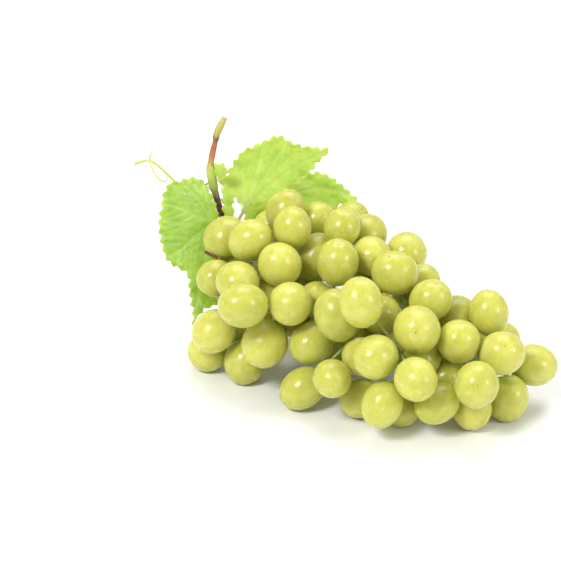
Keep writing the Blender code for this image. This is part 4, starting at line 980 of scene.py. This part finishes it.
def build_leaf(name, plan):
    """The blade, the veins and the stalk of one leaf."""
    ring = toothed(plan["margin"])
    low, high = ring.min(axis=0), ring.max(axis=0)
    rows, cols = int((high[1] - low[1]) / (ROW * LATTICE)) + 1, int((high[0] - low[0]) / LATTICE) + 2
    grid = np.array([(low[0] + (c + 0.5 * (r % 2)) * LATTICE, low[1] + r * ROW * LATTICE)
                     for r in range(rows) for c in range(cols)])
    grid = grid[inside(ring, grid)]
    grid = grid[np.linalg.norm(grid[:, None] - ring[None], axis=2).min(axis=1) > 0.45 * LATTICE]
    spots = np.vstack([ring, grid])
    edges = [(k, (k + 1) % len(ring)) for k in range(len(ring))]
    flat, _, faces, _, _, _ = delaunay_2d_cdt([Vector(p) for p in spots], edges, [], 1, 1e-6)
    flat = np.array([tuple(p) for p in flat])

    mains = [shrink_to_even(smooth_curve(v), 0.5) for v in plan["veins"]]
    all_mains = np.vstack(mains)
    sides = [v for main in plan["veins"] for v in side_veins(main, ring, all_mains)]

    node = frame["nodes"][name]
    solid = BVHTree.FromPolygons([v.co[:] for v in node.data.vertices],
                                 [p.vertices[:] for p in node.data.polygons])

    def depth_at(spots):
        """Depth in mm of the CAD leaf behind these spots: one that misses takes that of its nearest hit."""
        deep = np.full(len(spots), np.nan)
        for k, (across, up) in enumerate(spots):
            way = (on_face(across, up, 0) - eye).normalized()
            hit = solid.ray_cast(eye, way)[0]
            if hit:
                deep[k] = (hit - eye).dot(INTO_FACE) / MM - SEEN_FROM
        hits = np.nonzero(~np.isnan(deep))[0]
        for k in np.nonzero(np.isnan(deep))[0]:
            deep[k] = deep[hits[np.linalg.norm(spots[hits] - spots[k], axis=1).argmin()]]
        return deep + BEHIND

    deep = depth_at(flat)
    links = np.array(sorted({tuple(sorted((f[k], f[k - 1]))) for f in faces for k in range(3)}))
    count = np.bincount(links.ravel(), minlength=len(flat)).astype(float)
    for _ in range(EVENING_ROUNDS):  # each point takes after its neighbours
        total = np.bincount(links[:, 0], deep[links[:, 1]], len(flat))
        total += np.bincount(links[:, 1], deep[links[:, 0]], len(flat))
        deep = 0.4 * deep + 0.6 * total / count

    main_tree, side_tree = flat_tree(all_mains), flat_tree(np.vstack(sides or [all_mains]))
    off_main = np.array([main_tree.find((p[0], p[1], 0))[2] for p in flat])
    off_side = np.array([side_tree.find((p[0], p[1], 0))[2] for p in flat])
    off_rim = np.array([np.linalg.norm(ring - p, axis=1).min() for p in flat])
    groove = -0.26 * np.exp(-(off_main / 1.1) ** 2) - 0.10 * np.exp(-(off_side / 0.8) ** 2)
    puff = 0.42 * (1 - np.exp(-(np.minimum(off_main, off_side * 1.4) / 2.4) ** 2))
    wave = 0.60 * np.sin(flat[:, 0] * 0.45 + flat[:, 1] * 0.6) * np.exp(-off_rim / 5)
    relief = (groove + puff) * np.clip(off_rim / 1.5, 0.15, 1) + wave - 0.2
    deep_now = deep - relief  # nearer to the viewer where it bulges

    points = np.array([tuple(on_face(a, u, d)) for (a, u), d in zip(flat, deep_now)])
    for middle, _, wide, long in every_berry:  # keep off the berries
        away = points - np.array(middle)
        dist = np.linalg.norm(away, axis=1)
        need = 0.5 * (wide + long) + CLEAR * MM
        near = dist < need
        points[near] += (need - dist[near])[:, None] * away[near] / dist[near][:, None]

    tri = np.array([tuple(f) for f in faces])
    normal = np.zeros_like(points)
    flow = np.cross(points[tri[:, 1]] - points[tri[:, 0]], points[tri[:, 2]] - points[tri[:, 0]])
    for k in range(3):
        np.add.at(normal, tri[:, k], flow)
    normal /= np.linalg.norm(normal, axis=1)[:, None]
    if (normal @ np.array(INTO_FACE)).mean() > 0:
        normal, tri = -normal, tri[:, ::-1]
    thin = BLADE * MM * np.clip(0.35 + off_rim / 1.5, 0, 1)[:, None] / 2
    n, m = len(points), len(ring)
    co = np.vstack([points + thin * normal, points - thin * normal])
    all_faces = tri.tolist() + (tri[:, ::-1] + n).tolist()
    turn = 1 if tri_winds_with(tri, m) else -1
    for k in range(m):
        a, b = (k, (k + 1) % m)[::turn]
        all_faces.append((b, a, a + n, b + n))
    mesh = bpy.data.meshes.new(name + "_blade")
    mesh.from_pydata(co.tolist(), [], all_faces)
    give(mesh, "on_leaf", np.hstack([np.vstack([flat, flat]), np.zeros((2 * n, 1))]))
    on_vein = np.maximum(np.exp(-(off_main / 0.55) ** 2), 0.6 * np.exp(-(off_side / 0.32) ** 2))
    give(mesh, "vein", np.tile(on_vein, 2))
    give(mesh, "rim", np.tile(np.exp(-off_rim / 0.5), 2))
    give(mesh, "underside", np.repeat((0.0, 1.0), n))
    give(mesh, "pale", np.full(2 * n, plan["pale"]))
    mesh.shade_smooth()

    # Veins stand out from the underside, and just show on the upper side
    places, links, thick = [], [], []
    blade_tree = flat_tree(flat)
    for lines, first, last in ((mains, 0.50, 0.16), (sides, 0.24, 0.10)):
        for vein in lines:
            start = len(places)
            for k, (across, up) in enumerate(vein):
                near = blade_tree.find_n((across, up, 0), 4)
                share = np.array([1 / (0.05 + f[2]) for f in near])
                at = (share[:, None] * points[[f[1] for f in near]]).sum(axis=0) / share.sum()
                way = (share[:, None] * normal[[f[1] for f in near]]).sum(axis=0) / share.sum()
                radius = first + (last - first) * k / (len(vein) - 1)
                places.append(at - way * (0.72 * radius - 0.06) * MM)
                thick.append(radius * MM)
            links += [(k, k + 1) for k in range(start, len(places) - 1)]
    veins = cords.run(points_mesh(name + "_veins", places, links, thick=thick),
                      Material=vein_paint, Sides=6)
    veins.shade_smooth()

    if plan["petiole"]:
        line = np.array([tuple(on_face(*p)) for p in smooth_curve(plan["petiole"])])
        base = points[np.linalg.norm(points - line[0], axis=1).argmin()]
        line = line + (1 - np.linspace(0, 1, len(line))[:, None]) ** 2 * (base - line[0])
        radii = PETIOLE * MM * np.interp(
            np.linspace(0, 1, len(line)), (0, 0.15, 0.8, 1), (0.42, 0.5, 0.52, 0.75))
        stem_co, stem_faces, _ = round_tube(line, radii, 16)
        stem = bpy.data.meshes.new(name + "_petiole")
        stem.from_pydata(stem_co.tolist(), [], stem_faces)
        stem.shade_smooth()
        piece(name + "_petiole", stem, petiole_paint, "leaf_green")
    piece(name + "_blade", mesh, leaf_paint, "leaf_green", name)
    piece(name + "_veins", veins, None, "leaf_green")
    print(name, len(mesh.polygons), "faces,", len(mains), "main and", len(sides), "side veins")


def tri_winds_with(tri, m):
    """Whether the triangles run along the margin the way its points are numbered."""
    for t in tri:
        for a, b in ((t[0], t[1]), (t[1], t[2]), (t[2], t[0])):
            if a < m and b == (a + 1) % m:
                return True
            if b < m and a == (b + 1) % m:
                return False
    return True


# %% [markdown]
# ## Green of the leaves
# A young vine leaf lets the light through: it glows yellow-green, with paler veins and a fine net between
# them. Its underside is paler and duller. The tips of the teeth are a little yellow.

# %% Leaf materials
PETIOLE = 1.7  # width in mm
leaf_recipe = Recipe("vine_leaf")
on_leaf = leaf_recipe.attribute("on_leaf", "Vector")
patch, height = mottle(leaf_recipe, on_leaf, 0.14, 1.6)
pale = leaf_recipe.attribute("pale")
net = leaf_recipe.node("ShaderNodeTexVoronoi", {"Vector": on_leaf, "Scale": 0.85, "Randomness": 1.0},
                       feature="DISTANCE_TO_EDGE")
thread = leaf_recipe.step(net.outputs["Distance"], 0.09, 0.01)
dark = leaf_recipe.mix(patch, (0.17, 0.34, 0.018), (0.24, 0.42, 0.030))
bright = leaf_recipe.mix(patch, (0.34, 0.50, 0.050), (0.44, 0.58, 0.080))
green = leaf_recipe.mix(pale, dark, bright)
netted = leaf_recipe.mix(leaf_recipe.math("MULTIPLY", thread, 0.12), green, (0.50, 0.60, 0.14))
veined_leaf = leaf_recipe.mix(leaf_recipe.math("MULTIPLY", leaf_recipe.attribute("vein"), 0.55), netted,
                              (0.52, 0.60, 0.16))
edged = leaf_recipe.mix(leaf_recipe.math("MULTIPLY", leaf_recipe.attribute("rim"), 0.4), veined_leaf,
                        (0.50, 0.56, 0.12))
backed = leaf_recipe.mix(leaf_recipe.math("MULTIPLY", leaf_recipe.attribute("underside"), 0.45), edged,
                         (0.42, 0.50, 0.20))
leaf_paint = leaf_recipe.finish(
    Base_Color=backed,
    Roughness=leaf_recipe.step(leaf_recipe.attribute("underside"), 0.0, 1.0, 0.42, 0.70),
    Subsurface_Weight=0.5,
    Subsurface_Radius=(0.9, 1.0, 0.25),
    Subsurface_Scale=1.6 * MM,
    Normal=leaf_recipe.bump(leaf_recipe.math("ADD", height, thread), 0.35, 0.12 * MM),
)
vein_recipe = Recipe("leaf_vein")
vein_paint = vein_recipe.finish(Base_Color=(0.48, 0.56, 0.15, 1), Roughness=0.5, Subsurface_Weight=0.3,
                                Subsurface_Scale=0.8 * MM)
petiole_recipe = Recipe("leaf_stalk")
place = petiole_recipe.node("ShaderNodeTexCoord").outputs["Object"]
patch, height = mottle(petiole_recipe, place, 220.0, 1400.0)
petiole_paint = petiole_recipe.finish(
    Base_Color=petiole_recipe.mix(patch, (0.42, 0.52, 0.13), (0.52, 0.36, 0.16)),
    Roughness=0.45, Subsurface_Weight=0.2, Subsurface_Scale=0.8 * MM,
    Normal=petiole_recipe.bump(height, 0.3, 0.1 * MM),
)

# %% Build the leaves
for name, plan in LEAVES.items():
    build_leaf(name, plan)

# %% [markdown]
# ## Tendril
# The tendril leaves the node opposite a leaf, forks, and ends in a swollen tip and a curl.

# %% Tendril
TENDRIL = (
    (-34.3, 50.0, 51.7), (-40.0, 46.5, 55.5), (-46.0, 46.0, 57.5), (-52.0, 49.0, 57.5), (-57.0, 53.5, 56.0),
    (-62.0, 58.0, 54.5), (-66.0, 60.0, 54.0), (-69.5, 59.6, 53.5), (-73.0, 58.4, 53.0))
TENDRIL_ARM = ((-65.7, 59.8, 54.0), (-65.2, 62.5, 53.5), (-64.0, 65.5, 53.0))
TENDRIL_CURL = (
    (-65.7, 59.8, 54.0), (-64.4, 56.5, 52.5), (-62.6, 53.0, 51.5), (-60.0, 50.0, 52.0), (-57.2, 49.8, 53.5),
    (-56.6, 52.0, 54.5))
tendril_places, tendril_links, tendril_thick = [], [], []
for spots, widths in ((TENDRIL, (1.3, 1.25, 1.2, 1.2, 1.2, 1.25, 1.4, 1.9, 2.2)),
                      (TENDRIL_ARM, (1.1, 0.8, 0.5)), (TENDRIL_CURL, (1.1, 0.9, 0.85, 0.8, 0.75, 0.6))):
    line = smooth_curve(spots, 10)
    start = len(tendril_places)
    tendril_places += [on_face(*p) for p in line]
    wide = np.interp(np.linspace(0, 1, len(line)), np.linspace(0, 1, len(widths)), widths)
    tendril_thick += list(wide / 2 * MM)
    tendril_links += [(k, k + 1) for k in range(start, len(tendril_places) - 1)]
tendril_recipe = Recipe("tendril_green")
place = tendril_recipe.node("ShaderNodeTexCoord").outputs["Object"]
patch, height = mottle(tendril_recipe, place, 150.0, 1200.0)
tendril_paint = tendril_recipe.finish(
    Base_Color=tendril_recipe.mix(patch, (0.50, 0.58, 0.12), (0.62, 0.60, 0.20)),
    Roughness=0.45, Subsurface_Weight=0.2, Subsurface_Scale=0.8 * MM,
    Normal=tendril_recipe.bump(height, 0.3, 0.1 * MM),
)
tendril_mesh = cords.run(points_mesh("tendril", tendril_places, tendril_links, thick=tendril_thick),
                         Material=tendril_paint, Sides=14)
tendril_mesh.shade_smooth()
piece("tendril_cord", tendril_mesh, None, "leaf_green", "tendril")

# %% [markdown]
# ## Floor and light
# The bunch lies on a pale table in a bright, soft studio: a light high on the left, a second one on the
# right that puts the small extra gleam on the berries, a broad one above, and a bright surround that fills
# the shadows.

# %% Floor, lights and surround
table_top = bpy.data.meshes.new("table")
table_top.from_pydata([(-4, -4, 0), (4, -4, 0), (4, 6, 0), (-4, 6, 0)], [], [(0, 1, 2, 3)])
table_object = bpy.data.objects.new("table", table_top)
bpy.context.scene.collection.objects.link(table_object)
table_object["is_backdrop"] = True
table_paint = Recipe("pale_table")
table_top.materials.append(table_paint.finish(Base_Color=(0.90, 0.90, 0.90, 1), Roughness=0.6))


def softbox(name, place, aim, width, height, power):
    """A rectangular studio light at this place, aimed at that one."""
    light = bpy.data.lights.new(name, "AREA")
    light.shape = "RECTANGLE"
    light.size, light.size_y = width, height
    light.energy = power
    made = bpy.data.objects.new(name, light)
    bpy.context.scene.collection.objects.link(made)
    made.location = place
    made.rotation_mode = "QUATERNION"
    made.rotation_quaternion = (Vector(aim) - Vector(place)).to_track_quat("-Z", "Y")


softbox("key_light", (-0.60, -0.70, 0.95), (0, 0, 0.05), 0.34, 0.34, 11.5)
softbox("side_light", (0.95, -0.60, 0.55), (0, 0, 0.05), 0.30, 0.40, 4.0)
softbox("top_light", (0.1, 0.5, 1.3), (0, 0, 0.05), 1.0, 0.8, 10.0)
world = bpy.data.worlds.new("studio")
world.use_nodes = True
world.node_tree.nodes["Background"].inputs["Color"].default_value = (1, 1, 1, 1)
world.node_tree.nodes["Background"].inputs["Strength"].default_value = 0.55
bpy.context.scene.world = world
bpy.context.scene.view_settings.view_transform = "Standard"

# %% [markdown]
# ## Last look
# The box round everything that shows is printed, and is kept beside the box of the CAD model in a table.

# %% Sizes and finish
shown_low, shown_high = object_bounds()
print("shown box in mm:", [round(x / MM, 1) for x in shown_high - shown_low])
sizes = {"cad": [list(cad_low), list(cad_high)], "shown": [list(shown_low), list(shown_high)]}
